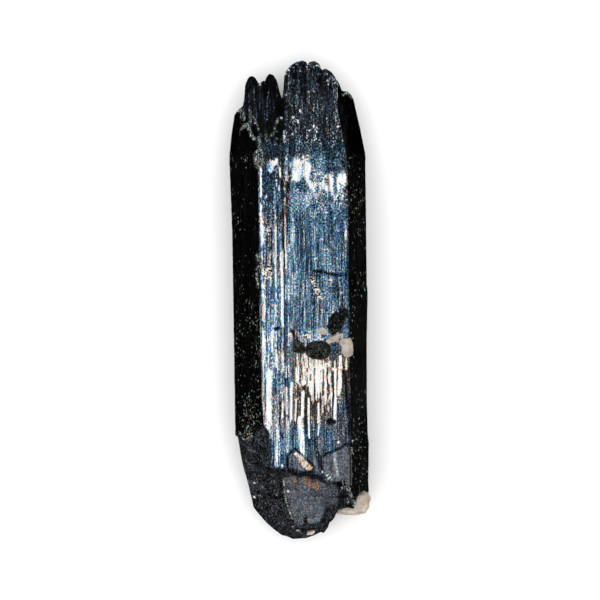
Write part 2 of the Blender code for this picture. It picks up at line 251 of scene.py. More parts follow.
# Bodies that grew as one: outline clockwise with a flank first and last, front height, the heights
# where the flanks meet the side, where and how many degrees the front falls back, and for a gentle
# crown the height and slope of the sides that run across.
BODIES = (
    dict(outline=((-10.2, -21.4), (-11.22, 22.6), (-10.45, 29.3), (-9.75, 30.4), (-8.7, 30.95), (-2, 29),
                  (3, 20), (3, -21.4)),
         front=LEFT_FRONT_Z, flanks=(LEFT_RIM_Z, 12.5), fall=(DOME_Y, 9)),
    dict(outline=((-2.2, -27.2), (-2.75, 31.6), (-2.45, 33.4), (-1.9, 34.4), (5.4, 34.2), (6.35, 33.6),
                  (7.25, 23), (7.85, -28.6)),
         front=FRONT_Z, flanks=(11.93, 11.9), fall=(DOME_Y, 12), crown=(8.9, 0.55)),
    dict(outline=((3, -30.8), (3, 33.15), (7.55, 33.15), (8.35, 32.3), (8.8, 30.6), (9.63, 26.9),
                  (10.45, 22.5), (10.93, -31)),
         front=SHOULDER_FRONT_Z, flanks=(12.5, RIGHT_RIM_Z), fall=(20, 15)),
    dict(outline=((-8.95, 12), (-8.75, 34), (-8.1, 35.4), (-7.55, 35.62), (-7, 35.25), (-6.3, 34.1),
                  (-6.1, 12)),
         front=10.0, flanks=(7.6, 7.2), fall=(DOME_Y, 11)),
    dict(outline=((-6.8, 12), (-6.45, 34), (-6.15, 34.7), (-5.8, 34.85), (-5.35, 33.4), (-5.2, 12)),
         front=8.9, flanks=(7.4, 7.4), fall=(DOME_Y, 9)),
    dict(outline=((-5.75, 12), (-5.4, 34.7), (-5.15, 35.7), (-4.75, 35.95), (-4.1, 35.7), (-3.6, 34.95),
                  (-2.9, 31.8), (-2.6, 12)),
         front=10.3, flanks=(7.6, 7.4), fall=(DOME_Y, 11.5)),
    dict(outline=((-2.72, 12), (-2.55, 35.4), (-2.1, 36.6), (-1.4, 37.3), (-0.6, 37.8), (0.4, 38.05),
                  (1, 37.8), (1.35, 36.6), (1.6, 12)),
         front=12.15, flanks=(9, 9.4), fall=(24.2, 12.5)),
    dict(outline=((1.1, 12), (1.3, 37.5), (1.7, 37.85), (2.3, 37.95), (3, 37.6), (3.5, 36.2), (3.8, 12)),
         front=11.7, flanks=(9.6, 9.4), fall=(22.4, 11)),
    dict(outline=((3.3, 12), (3.5, 36.5), (4.05, 36.85), (4.95, 36.3), (5.45, 35.6), (6.1, 34.8),
                  (6.75, 33), (7.25, 12)),
         front=12.0, flanks=(9.4, 9.6), fall=(23, 13)),
)

# Broken bodies of the base: planes as (point, normal), and the rectangle each one stands in
BROKEN = (
    dict(planes=(((0, -27.6, 9.75), (0.04, -0.2, 0.98)), ((-2.9, -29.5, 9.3), (-0.62, -0.2, 0.76)),
                 ((1, -34.9, 8.2), (0.18, -0.8, 0.55)), ((-1.9, -33.6, 8.3), (-0.45, -0.62, 0.62)),
                 ((6, -30.5, 8.6), (0.8, -0.1, 0.58))), within=(-99, 99, -38.2, -19)),
    dict(planes=(((-3, -23.5, LEFT_FRONT_Z), (0, 0, 1)),
                 ((-4.9, -23.5, LEFT_FRONT_Z), (-0.74, -0.06, 0.66))), within=(-99, -1.6, -27.2, -19)),
    dict(planes=(((7, -31, 9.4), (0.3, -0.5, 0.84)), ((5.9, -31.8, 8.6), (-0.5, -0.4, 0.76))),
         within=(5.4, 99, -33.6, -29.5)),
    dict(planes=(((5.1, -33.9, 8.9), (0.35, -0.55, 0.76)),), within=(4.1, 5.7, -35.6, -32.7)),
)

ETCHED_RIM = (
    (-9.8, 30.2), (-9.4, 29.6), (-8.85, 28.6), (-9.25, 27.3), (-8.3, 27.5), (-7.55, 26.1), (-7.2, 25.3),
    (-6.5, 25.2), (-5.9, 24.5), (-4.8, 24.85), (-3.9, 24.6), (-3.05, 25.1), (-2.4, 25),
)
# The grown faces stop along this foot: the etched break of the left individual, the undercut foot
# of the front face and the foot of the right flank
FOOT = (
    (-10.5, -21.4), (-9.6, -21.4), (-8.93, -22.2), (-7.4, -21.4), (-6.55, -19.8), (-5.9, -19.6),
    (-5.1, -20.6), (-4.85, -21.1), (-4.78, -26.55), (-1.65, -26.9), (-0.06, -27.4), (2.8, -27.9),
    (4.05, -28.65), (5.8, -28.65), (6.5, -28.4), (6.9, -30.2), (7.9, -30.3), (8.6, -31.6), (9.3, -31.2),
    (10.95, -30.4),
)

# Details read off the photograph. Paths and outlines are in its pixels, as x, y, x, y and so on
PLATEAU = (
    283, 477, 298, 476, 318, 480, 336, 484, 340, 490, 340, 501, 336, 507, 327, 507, 323, 514, 320, 522,
    308, 524, 306, 516, 303, 527, 297, 526, 291, 514, 288, 500, 285, 489,
)
SUB_BLOCK = (
    323.5, 453.5, 331, 451.5, 340, 448, 351, 441, 350.5, 470, 350.5, 488, 342, 478, 337, 481, 325, 480,
)
CHIP = (287.5, 456, 291, 451.5, 295.5, 448, 315.3, 466.5, 311, 471, 301, 471.5, 288, 468)
# The chip's facet that catches the light, which is painted brighter
CHIP_LIT = (294.5, 452, 297.5, 451.6, 305, 458.3, 314.6, 466.8, 311, 470.4, 306, 469, 300.5, 462.5)
CRACKS = (  # width, depth and path
    (0.13, 0.35, 314, 270.6, 322, 271.8, 331, 273.8, 338, 275, 347, 274.8),
    (0.13, 0.25, 291.2, 330, 295.5, 334, 297.6, 338),
    (0.16, 0.12, 324, 454, 331, 452, 341, 447, 350, 442, 355.5, 439),
    (0.14, 0.3, 316.2, 447, 317.6, 455, 321, 470), (0.14, 0.3, 287.8, 456, 288.2, 470),
    (0.16, 0.22, 254.8, 252, 257.6, 262, 256.4, 273, 260, 282), (0.13, 0.35, 350.6, 448, 350.6, 486),
)
PITS = (  # pixel, size and depth
    ((277.5, 328.5), (0.4, 0.22), 0.4), ((331.5, 421), (0.65, 0.5), 0.45),
    ((327.4, 180.6), (0.25, 0.35), 0.06), ((295, 186), (0.4, 0.5), 0.06),
)
CRUSTS = (  # pixel and size
    ((266.8, 272), (1.15, 1.4)), ((313.2, 280.5), (0.6, 0.95)), ((315.6, 287.6), (0.5, 0.6)),
    ((318.4, 293), (0.7, 0.9)), ((321, 298), (0.5, 0.5)), ((260.6, 163), (0.4, 0.5)),
    ((268.5, 231), (0.5, 0.9)), ((271, 226), (0.3, 0.4)), ((330.5, 280.5), (0.4, 0.55)),
    ((327.2, 181.4), (0.5, 0.6)), ((307, 336), (1.1, 0.45)), ((296.6, 398.5), (0.38, 0.42)),
)
GREEN_PATHS = (  # width and path of the etched rims and grey-green grain boundaries
    (2.2, 238.5, 110, 241, 109, 243.5, 114, 244.6, 119),
    (2.8, 242, 128, 246, 125.5, 248.5, 124.8, 250, 130, 252.3, 136.5, 255, 139.3, 259, 138),
    (2, 259, 138, 262, 142, 266, 141.5, 272, 141, 277, 139, 284, 142),
    (1.5, 252, 115, 255.5, 120.5, 257.5, 126, 259.5, 131, 262, 136.5), (2.4, 266, 132, 266.6, 140),
    (2.4, 271.5, 134, 270.3, 141.5), (1.5, 275.5, 127, 274, 136), (2.6, 276, 124, 278.5, 119.5),
    (1.3, 240, 433, 244, 440, 248, 438.5, 254, 435),
    (1.3, 283.5, 480, 285.5, 489, 286.3, 500, 289, 509, 292.5, 518), (3, 260.6, 141, 260.2, 150),
    (8, 259.6, 153, 258.8, 159, 259.4, 164), (2.2, 344, 95, 346, 92.4, 349.5, 93.4, 352.5, 98),
    (1.6, 336.6, 79, 338.2, 84), (3, 304.2, 217, 303, 222, 303.6, 226), (1.2, 345.2, 150, 346, 171),
    (1.8, 281.5, 232, 280.2, 240), (1.2, 344, 500, 347.5, 499, 348.5, 502.5),
    (2.2, 319.5, 448, 320.5, 457), (2.2, 350, 441.5, 355.5, 439), (1.2, 352, 447, 352.5, 452),
    (3.6, 328, 478, 332.5, 480.5), (1.6, 256, 252, 259, 262, 257, 275, 259.5, 288),
    (2.6, 350.5, 492, 352, 496), (2.2, 354, 500, 355.5, 507),
    (2.2, 293.5, 527.5, 296.5, 530.5, 300, 532), (2.6, 328, 474.5, 331.5, 478),
)


def grown_height(x, y, body, front):
    """The front height of a grown body over the plan."""
    outline = body["outline"]
    left, *crown, right = list(zip(outline[:-1], outline[1:]))
    fall_y, fall = body["fall"]
    height = front - math.tan(math.radians(fall)) * np.maximum(0, y - fall_y)
    limits = [(side, rim, PRISM_SLOPE) for side, rim in zip((left, right), body["flanks"])]
    for start, end in crown:
        across = abs(end[0] - start[0]) > abs(end[1] - start[1])
        rim, slope = body.get("crown", (CROWN_Z, CROWN_SLOPE)) if across else (CROWN_Z, CROWN_SLOPE)
        limits.append(((start, end), rim, slope))
    for (start, end), rim, slope in limits:
        distance = inside_of(x, y, start, end)
        height = np.minimum(height, rim + np.where(distance > 0, slope, STEEP) * distance)
    foot_y = min(left[0][1], right[1][1])
    return np.where(y < foot_y, height - STEEP * (foot_y - y), height)


def broken_height(x, y, body):
    """The front height of a broken body over the plan."""
    planes = [pz - ((x - px) * nx + (y - py) * ny) / nz for (px, py, pz), (nx, ny, nz) in body["planes"]]
    low_x, high_x, low_y, high_y = body["within"]
    outside = np.maximum.reduce([low_x - x, x - high_x, low_y - y, y - high_y])
    return np.minimum.reduce(planes) - STEEP * np.maximum(0, outside)


def shape_of_front(x, y):
    """The front height over the plan before fine detail, and the kind of face at each place."""
    height = np.full(x.shape, LOWEST_FRONT_Z)
    past = y - line(ETCHED_RIM, x) - 0.22 * noise(x, y, 0.45, 0.45, 5)
    for body in BODIES:
        top = grown_height(x, y, body, body["front"])
        if body is BODIES[0]:
            etched = LEFT_FRONT_Z - ETCHED_DROP - ETCHED_SLOPE * past
            top = np.where(past > 0, np.minimum(top, etched), top)
        height = np.maximum(height, top)
    below = line(FOOT, x) + 0.15 * noise(x, y, 0.5, 0.5, 6) - y
    height = height - STEEP * np.maximum(0, below)
    for body in BROKEN:
        height = np.maximum(height, broken_height(x, y, body))
    hair = 1e-6
    facing = (x > line(FRONT_LEFT_LINE, y) - hair) & (x < line(FRONT_RIGHT_LINE, y) + hair)
    spires = (past > 0) & (x < line(SUTURE_LINE, y))
    kind = np.where(facing | spires, FRONT, SIDE)
    return height, np.where(below > 0, BREAK, kind)


def relief(x, y, kind):
    """Fine growth relief: striations on grown faces, a grainy hackle on broken ones."""
    calm = 0.045 * laths(x, y, 0.36, 13, 11) + 0.06 * laths(x, y, 0.85, 20, 12)
    calm = calm + 0.05 * laths(x, y, 2.1, 34, 13) + 0.03 * fractal(x, y, 0.35, 0.6, 22)
    rough = 0.12 * laths(x, y, 0.33, 2.6, 14) + 0.1 * laths(x, y, 0.8, 6, 15)
    rough = rough + 0.06 * fractal(x, y, 0.4, 0.7, 16)
    front = mix(calm, rough, step(22.6, 25.0, y)) - STRIATION_DEPTH
    side = 0.05 * laths(x, y, 0.5, 17, 17) + 0.03 * noise(x, y, 1.2, 9, 18)
    hackle = 0.18 * fractal(x, y, 1.5, 1.5, 19, 4) + 0.09 * np.abs(noise(x + 0.4 * y, y, 0.5, 1.6, 20))
    even = np.maximum(patch(x, y, PLATEAU, 0.15), patch(x, y, SUB_BLOCK, 0.1))
    hackle = mix(hackle, 0.06 * fractal(x, y, 0.9, 0.9, 21), even)
    return np.select([kind == FRONT, kind == SIDE], [front, side], hackle)


def crust_mask(x, y):
    """1 on the crusty deposits."""
    ragged = 0.5 * fractal(x, y, 0.4, 0.4, 41) + 0.15 * noise(x, y, 0.2, 0.2, 43)
    spots = np.maximum.reduce([bump(x, y, *on_plan(pixel), size) for pixel, size in CRUSTS])
    return step(0.30, 0.62, spots + ragged * (spots > 0))


def green_mask(x, y):
    """1 along the etched rims and the grey-green grain boundaries."""
    mask = np.maximum.reduce([stroke(x, y, path, width, 0.16, 44) for width, *path in GREEN_PATHS])
    mask = mask * step(-0.5, 0.2, noise(x, y, 0.34, 0.34, 45))
    strewn = step(0.62, 0.75, noise(x, y, 0.24, 0.24, 48)) * step(0.0, 0.4, noise(x, y, 1.2, 1.2, 49))
    return np.maximum(mask, 0.7 * strewn * window(x, y, -8.0, -3.2, -33.0, -27.5))


def grey_mask(x, y):
    """How grey the black sides are."""
    return np.where(x < 0, 0.08, line(RIGHT_GREY, y)) * (1 + 0.5 * noise(x, y, 0.8, 2.5, 68))


def calm_mask(x, y):
    """1 where the grain of the front has little colour of its own."""
    return np.maximum.reduce([0.5 * step(22, 26, y), 0.6 * step(-14, -17, y), patch(x, y, CHIP, 0.05),
                              window(x, y, *UNDER_CRACK)])


def peppered(y):
    """1 where the front is grainy rather than striated."""
    return step(9, 15, y) * (1 - 0.75 * step(26, 32, y))


def front_surface(x, y):
    """The whole front: its height and kind of face, and the masks the materials read."""
    height, kind = shape_of_front(x, y)
    grown = kind == FRONT
    lowered = patch(x, y, SUB_BLOCK, 0.03) * grown
    kind = np.where(lowered > 0.5, BREAK, kind)
    height = height + relief(x, y, kind) - SUB_BLOCK_DEPTH * lowered
    height = height - CHIP_DEPTH * patch(x, y, CHIP, 0.05) * grown
    for width, depth, *path in CRACKS:
        away = near_path(x, y, on_plan(path)) + 0.04 * noise(x, y, 0.3, 0.3, 46)
        height = height - depth * (1 - step(0.3 * width, width, away))
    for pixel, size, depth in PITS:
        height = height - depth * bump(x, y, *on_plan(pixel), size)
    away, along = x - line(SUTURE_LINE, y), step(2, 9, y)
    height = height - SUTURE_GROOVE * along * crest(away + 0.15, 0.1)
    height = height + SUTURE_LIP * along * crest(away - 0.2, 0.1) * grown
    masks = dict(crust=crust_mask(x, y), rim=green_mask(x, y), tone=front_tone(x, y, kind),
                 warm=warm_mask(x, y), rust=rust_mask(x, y), crown=step(22.0, 26.0, y),
                 pepper=peppered(y), grey=grey_mask(x, y), calm=calm_mask(x, y))
    lumps = 0.5 + 0.5 * fractal(x, y, 0.32, 0.32, 47)
    height = height + CRUST_HEIGHT * masks["crust"] * lumps + RIM_HEIGHT * masks["rim"] * lumps
    return height, kind, masks


# ---- Where the front is bright or dark, warm or stained ----

# These tones, and those of the left strip below, hold the front's own colour together with its sheen
# under the light, which is painted in
TONE_ALONG = (  # y and tone of the right individual
    (-38, 0.16), (-29, 0.2), (-27, 0.26), (-25, 0.33), (-22, 0.36), (-17, 0.34), (-11, 0.42), (-8, 0.5),
    (-4, 0.55), (0, 0.54), (5, 0.495), (10, 0.435), (15, 0.43), (18, 0.46), (21, 0.42), (22.8, 0.265),
    (24, 0.18), (27, 0.135), (30, 0.12), (33, 0.11), (36, 0.1), (38, 0.1),
)
LEFT_TONE_ALONG = (  # y and tone of the left individual's strip
    (-27, 0.36), (-20, 0.44), (-14, 0.47), (-8, 0.57), (-2, 0.585), (4, 0.51), (8, 0.39), (14, 0.29),
    (20, 0.2), (23.5, 0.17), (24.6, 0.13), (25.5, 0.05), (38, 0.04),
)
# Bright and dark streaks. Each group has a strength, a share of gaps and its streaks, and each streak
# has a tone, a width in pixels and a path. The bright ones are mostly painted highlights along the
# striations and through the glare; many dark ones are painted shade in cracks, pits and between the
# crown's spires
STREAKS = (
    (1.0, 0.06, (  # whole and bright
        (0.95, 2.7, 262.2, 226, 262.3, 246), (0.97, 2, 276.3, 226, 275.8, 262, 276.3, 288),
        (1, 2.7, 282.2, 249, 282.6, 290, 283.2, 326), (0.8, 1.3, 277.2, 180, 276.9, 187),
        (0.9, 1.3, 279.6, 186, 279.7, 192), (0.85, 1.7, 284.6, 131, 284.9, 143),
        (0.92, 1.6, 289.3, 244, 289.6, 252), (0.8, 1.4, 345.9, 226, 346, 241),
        (0.93, 1.7, 273.4, 331, 272.4, 352), (0.95, 1.9, 276.8, 350, 276.4, 367),
        (1, 5.4, 270, 372, 269.3, 395, 269.6, 424), (0.5, 1.2, 266.2, 378, 266, 412),
        (0.95, 1.8, 286.2, 367, 286.4, 377), (0.85, 1.3, 289.3, 366, 289.6, 375),
        (1, 2.4, 292.6, 383, 291.8, 400, 291.2, 421), (0.98, 2.9, 286.6, 388, 286.2, 400, 287.4, 413),
        (0.96, 1.9, 296.6, 400, 295.6, 419), (0.66, 4.6, 278, 427, 277.6, 464),
        (0.76, 4.2, 288, 418, 287.2, 450), (1, 3.2, 303.4, 392, 302.8, 416),
        (0.93, 4.8, 300.2, 418, 301.8, 436, 303, 455), (1, 1.9, 309, 398, 309.6, 437),
        (0.97, 1.8, 318.9, 402, 318.6, 434), (1, 3.4, 335.6, 388, 335.4, 412),
        (0.9, 3, 335.4, 412, 335.2, 423), (0.97, 1.5, 316.8, 384, 316.4, 400),
        (0.97, 1.6, 325.8, 386, 325.6, 403), (0.95, 1.5, 331.2, 384, 331.6, 406),
        (0.95, 1.4, 311.8, 384, 311.4, 394), (0.93, 1.6, 297.4, 354, 298.4, 366),
        (0.85, 1.5, 334.9, 361, 335.4, 369), (0.85, 1.4, 346.6, 360, 346.9, 369),
        (0.97, 3, 304.8, 172.5, 307.5, 180, 311, 185.5, 314.6, 191),
        (0.4, 2.6, 335.4, 168, 335.2, 180, 336.2, 194),
    )),
    (0.95, 0.3, (  # broken and bright
        (1, 2.1, 261.4, 165, 261.3, 190, 261.8, 215, 262, 226),
        (0.94, 2.6, 263.5, 285, 264.3, 310, 263.8, 335, 264.5, 352),
        (0.88, 2, 264.5, 352, 263.6, 375, 263.7, 414), (0.7, 1.9, 275, 198, 275.6, 226),
        (0.9, 1.9, 288, 150, 286.8, 158, 286.9, 181), (0.84, 1.8, 285.7, 183, 285.3, 215, 285.5, 240),
        (0.97, 1.8, 285.6, 240, 286, 252, 286.2, 268), (0.9, 3.4, 268.3, 366, 270, 374),
        (0.92, 3.8, 269.4, 420, 268.8, 430, 271, 436), (0.93, 1.7, 283.6, 400, 282.9, 417),
        (0.85, 2, 277.6, 412, 277.2, 428), (0.92, 1.8, 277.8, 430, 277.6, 462),
        (0.85, 1.3, 313.6, 396, 313.2, 412), (0.85, 1.6, 323.4, 396, 322.6, 412),
        (0.85, 1.4, 329.2, 398, 328.8, 410), (0.92, 1.3, 338.6, 384, 338.2, 402),
    )),
    (0.77, 0.25, (  # soft
        (0.7, 1.5, 262.8, 246, 262.4, 285), (0.7, 1.2, 264, 212, 263.6, 236),
        (0.62, 1.9, 280.2, 196, 280.4, 228), (0.7, 1.8, 281.2, 226, 281.6, 250),
        (0.66, 1.8, 276, 288, 275.6, 312), (0.2, 1.2, 272.2, 232, 271.8, 262),
        (0.26, 2.4, 267, 245, 267.2, 263), (0.12, 1, 278.9, 196, 278.7, 240),
        (0.17, 4.2, 268.4, 174, 269.4, 232), (0.06, 1, 284, 240, 284.6, 252, 284.8, 268),
        (0.08, 1, 283.6, 150, 283.5, 228, 283, 250), (0.06, 1.2, 288.2, 184, 287.8, 236),
        (0.62, 0.9, 304.3, 196, 304.6, 262), (0.72, 1.8, 316.6, 258, 316.4, 271),
        (0.29, 3.5, 301, 222, 301.2, 252), (0.3, 3, 298, 298, 298.5, 325),
        (0.28, 3, 320, 236, 333, 250), (0.58, 1.5, 345.6, 244, 346.6, 270),
        (0.42, 1.2, 347, 276, 346.6, 340), (0.22, 2, 273.9, 380, 273.6, 420),
        (0.16, 1.8, 283.2, 424, 282.9, 466), (0.2, 1.6, 273.2, 424, 273, 466),
        (0.14, 1.5, 292.6, 420, 293, 446), (0.3, 0.9, 311, 368, 310.8, 380),
        (0.6, 1.2, 340.5, 396, 340.9, 412), (0.14, 1.4, 298.6, 384, 298.2, 416),
        (0.1, 3, 349, 372, 349.3, 400, 349.4, 440), (0.12, 2, 348.4, 280, 349.2, 372),
        (0.1, 1.8, 347.8, 165, 348.2, 280), (0.14, 1.3, 311.3, 402, 311.5, 440),
        (0.16, 1.3, 289.2, 378, 289, 420), (0.26, 2.4, 294.2, 368, 294.6, 396),
        # painted shade between the crown's spires and in the cracks
        (0.05, 1.6, 310.5, 76, 311, 100), (0.05, 1.5, 299, 84, 299.4, 112),
        (0.06, 1.6, 292, 70, 290.6, 92), (0.09, 1.8, 338, 275, 347, 274.8),
        (0.17, 2.6, 324, 454, 331, 452, 341, 447, 352, 440.6),
        (0.56, 1.6, 292.5, 457, 297, 463, 301.5, 469),
        (0.14, 1, 288.5, 455, 295.5, 447.6, 305, 456, 315.6, 466), (0.06, 1.8, 316, 289, 319, 296),
    )),
    (0.93, 0.1, (  # dark
        # dark gaps through the painted glare, and painted shade between the crown's spires, in the
        # cracks and in the pits
        (0.02, 1.6, 283.8, 98, 284.2, 130), (0.14, 1.1, 307.6, 368, 307.2, 392),
        (0.14, 1.1, 314.8, 368, 314.4, 396), (0.16, 1, 321, 370, 320.8, 396),
        (0.12, 1.2, 327.6, 368, 327.8, 398), (0.1, 1.2, 333.4, 372, 333.6, 408),
        (0.18, 1.1, 301.8, 368, 301.4, 384), (0.16, 1, 337.4, 376, 337, 396),
        (0.1, 1.5, 305.6, 398, 306.2, 432), (0.12, 1.6, 316, 400, 315.8, 430),
        (0.08, 1.2, 320.9, 396, 321.2, 418), (0.06, 1.4, 307.8, 436, 309.4, 446),
        (0.03, 2.6, 284.2, 66, 284, 100), (0.02, 3, 296.2, 61, 295.4, 78),
        (0.02, 2.6, 306, 63, 305.4, 84, 305.6, 104), (0.03, 2.6, 321.6, 68, 321.4, 94),
        (0.02, 2, 259, 80, 258.6, 118), (0.02, 2.2, 263.4, 82, 263.4, 122),
        (0.17, 1.7, 253.6, 90, 255, 104, 254.6, 116), (0.14, 1.4, 260.8, 86, 260.4, 108),
        (0.19, 1.7, 268.8, 92, 268, 106, 267.8, 120), (0.14, 1.4, 274.2, 96, 274.6, 112),
        (0.12, 1.2, 257.2, 96, 256.8, 118), (0.11, 1, 270.6, 98, 270.4, 114),
        (0.04, 1.7, 314, 270.6, 322, 271.8, 331, 273.8, 338, 275),
        (0.03, 2.2, 275.6, 329.2, 279.6, 327.6), (0.04, 3.6, 328.5, 420.4, 334.5, 421.6),
        (0.02, 1.5, 291.4, 330, 297.6, 338), (0.05, 1.1, 288, 456, 288.4, 469),
        (0.06, 1.6, 318, 452, 321.5, 457, 322.4, 470),
        (0.08, 1.2, 325.6, 178.5, 326.2, 183.4, 328.6, 184.6),
    )),
)
# Bright and dark patches: tone, strength, how frayed, and outline. The brightest are painted glare
# where the front shines, and two dark ones are painted shade under the front's foot
PATCHES = (
    (0.15, 0.88, 0.7, 299, 391, 334, 391, 334, 414, 301, 416),
    (0.17, 0.85, 0.5, 342, 370, 350, 369, 350, 414, 343, 412),
    # painted glare: the upper band where the front shines
    (0.5, 0.9, 0.6, 290, 157, 313, 155, 346, 162, 347, 206, 330, 214, 296, 211, 289, 190),
    (0.7, 0.85, 0.5, 312, 174, 334, 170, 345, 180, 338, 198, 314, 196),
    (0.17, 0.8, 0.3, 296, 183, 302, 181, 309, 187, 308, 193, 298, 192),
    (0.36, 0.7, 0.5, 311, 160, 323, 160, 323, 172, 313, 171),
    (0.33, 0.7, 0.4, 330, 163, 338, 166, 336, 175, 331, 172),
    (0.97, 0.97, 0.55, 290.5, 166, 293, 163, 296, 158.5, 300, 160, 305, 157.5, 308, 162, 312, 172, 310,
     178, 306, 181, 303, 178, 298, 182, 294, 180, 291, 177),
    (0.96, 0.95, 0.25, 306, 172, 309, 174, 312, 182, 314, 189, 311, 190, 308, 183, 305, 179),
    (1.35, 1, 0.3, 321, 189, 323, 180, 326, 174, 331, 173, 334, 181, 332, 187, 329, 193, 325, 190),
    (1.2, 0.97, 0.2, 337, 181, 341, 172, 344, 170, 346, 178, 345, 186, 342, 193, 339, 192, 337, 187),
    (0.98, 1, 0.05, 341, 195, 343.2, 195, 342.6, 204.5, 340.2, 204.5),
    (0.6, 0.8, 0.7, 295, 199, 304, 195, 313, 194, 322, 199, 318, 206, 300, 207),
    (0.7, 0.85, 0.4, 317, 208, 326, 210, 324, 216, 316, 214),
    (0.66, 0.7, 0.6, 326, 196, 336, 199, 334, 206, 325, 204),
    (0.33, 0.55, 0.8, 294, 212, 312, 216, 316, 250, 296, 252),
    (0.32, 0.5, 0.8, 316, 220, 331, 216, 336, 240, 320, 246),
    (0.36, 0.5, 0.8, 286, 300, 298, 296, 300, 330, 288, 332),
    (0.52, 0.4, 0.8, 303, 258, 314, 256, 315, 300, 304, 304),
    (0.38, 0.5, 0.7, 322, 282, 338, 286, 330, 306, 320, 304),
    # painted glare on the left individual's strip
    (0.99, 1, 0.12, 267.8, 165, 270.5, 160, 273.5, 161.5, 279.2, 156.5, 278, 163, 275, 167, 273.5,
     171.5, 270.5, 173.5, 268, 170),
    (0.98, 1, 0.05, 278.6, 164.5, 281.6, 170, 282.4, 178, 280.2, 178.5, 279.2, 171),
    (0.12, 0.8, 0.4, 262, 146, 285, 146, 285, 157, 268, 160, 264, 170),
    (0.17, 0.7, 0.3, 264.5, 176, 274, 174, 274, 200, 265.5, 200),
    (0.36, 0.7, 0.4, 289, 345, 297, 352, 298, 366, 288, 366),
    (0.8, 0.85, 0.45, 299, 333, 306, 332, 318, 328, 322, 337, 313, 342, 303, 341),
    (0.4, 0.8, 0.2, 341, 323, 349, 320, 350, 338, 341, 338),
    (0.75, 0.9, 0.05, 296.5, 337, 298, 336.5, 305.5, 343, 304.5, 344.5),
    (0.25, 0.95, 0.05, 330.8, 341, 340, 343, 338.6, 367.5, 331, 367.5),
    # painted glare: the lower band where the front shines
    (0.92, 0.9, 0.5, 303, 354, 312, 353, 318, 359, 331, 362, 331, 368, 303, 369),
    (0.99, 1, 0.12, 339, 355, 345, 355, 346.5, 369, 338.6, 369),
    (1.12, 0.97, 0.55, 295.5, 368, 313, 366, 331, 368, 331, 386, 326, 394, 318, 388, 312, 393, 306,
     384, 300, 388, 296, 380),
    (1, 1, 0.25, 331.5, 367.5, 341.5, 369.5, 341.5, 388, 338, 396, 331.5, 394),
    (1.1, 0.85, 0.9, 313, 384, 332, 384, 332, 399, 313, 399),
    (0.14, 0.8, 0.3, 301.5, 385.5, 307, 385.5, 307, 390, 302, 390),
    (0.36, 0.75, 0.4, 322, 404, 333, 402, 333, 444, 312, 446, 312, 430),
    (0.3, 0.7, 0.4, 337, 404, 348, 404, 348, 438, 336, 446, 333, 428),
    (0.3, 0.6, 0.5, 323, 446, 350, 430, 351, 440, 325, 452),
    (0.47, 0.7, 0.4, 289, 430, 300, 428, 301, 447, 295, 446, 289, 452),
    (0.54, 0.45, 0.9, 317, 240, 340, 238, 341, 262, 320, 264),
    (0.39, 0.85, 0.3, 311, 446, 323, 446, 323, 478, 316, 472, 310, 458),
    # painted shade along and under the front's undercut foot
    (0.24, 0.8, 0.2, 270.5, 466, 288, 466, 288, 472, 270.5, 470),
    (0.1, 0.9, 0.1, 288, 470, 302, 472, 312, 471, 317, 474, 324, 474, 324, 480, 300, 478, 288, 475),
    (0.385, 0.95, 0.05, *CHIP),
    # painted highlight on the chip's facet that catches the light
    (0.8, 0.95, 0.22, *CHIP_LIT),
    (0.31, 0.9, 0.15, 339, 479, 350, 478, 352, 494, 345, 494),
)
# Painted glints, where the crystal catches the light
GLINTS = (  # size in pixels, tone and pixels
    (1.7, 0.55, (
        (317, 65.3), (291, 83.5), (285.4, 95), (310, 131.6), (335.4, 101.8), (300, 111.6),
        (243.4, 113.2), (276.6, 131.4), (272.4, 135.4), (248.4, 126.6),
    )),
    (1.8, 0.8, (
        (290.2, 66.2), (289.2, 69.8), (300.6, 71.3), (328.3, 81), (328.9, 84.4), (293.6, 118),
        (295, 121), (314, 126.6), (293, 135.4), (260.6, 84.2), (256.2, 123), (277.6, 121.6),
        (313.2, 306.6), (342.6, 487.2), (348.4, 502.2), (254.6, 483.2), (322.6, 239.6), (301.5, 337),
    )),
    (2.0, 0.97, (
        (298.2, 121.2), (338.6, 127), (244.5, 118.2), (281.6, 117.8), (293.3, 220.5), (298.4, 190.4),
        (341.6, 292.6), (319.2, 294), (321.6, 298), (266.6, 197), (280.8, 234.8), (338.8, 441.6),
        (282.8, 465.2), (322.4, 471), (288.5, 491), (254.6, 497.6), (276.6, 345.6), (305.6, 345),
        (295.8, 453.6), (322.8, 339),
    )),
)
BREAK_PATCHES = (  # tone and outline on the broken base
    (0.4, 322, 450, 352, 438, 352, 492, 341, 482, 322, 482),
    (0.33, 339, 446, 351, 442, 351, 490, 343, 478),
    (0.68, 333, 452, 335.8, 451, 339.6, 475, 336.8, 476),
    (0.5, 336.4, 475.5, 341.4, 476.5, 342.6, 481.5, 337.6, 480.5),
    (0.13, 323, 452, 337, 447, 351, 440, 351, 443.5, 338, 450, 324, 456.5),
    (0.275, 318, 483, 338, 485, 338, 497, 327, 501, 320, 494),
    (0.37, 300, 496, 322, 497, 321, 507, 303, 506),
    (0.05, 338.8, 482, 341, 482, 341.2, 506, 338.6, 506),
    (0.08, 341, 493, 350, 491, 352, 508, 341, 508),
    (0.36, 327, 476, 331, 474.6, 334.5, 478, 333, 483, 327, 482),
    (0.04, 322, 476, 327, 477, 326, 484, 321, 481),
    (0.11, 326, 507.5, 337, 508, 336.5, 517, 330, 522, 322, 524),
    (0.08, 305, 515, 307, 516, 308, 526, 303, 528),
    (0.46, 308, 519, 321, 517, 320.5, 522.5, 309, 524),
    (0.1, 264, 475, 282, 478, 284, 500, 270, 505, 262, 490),
    (0.15, 290, 526, 322, 526, 318, 531, 292, 533),
)
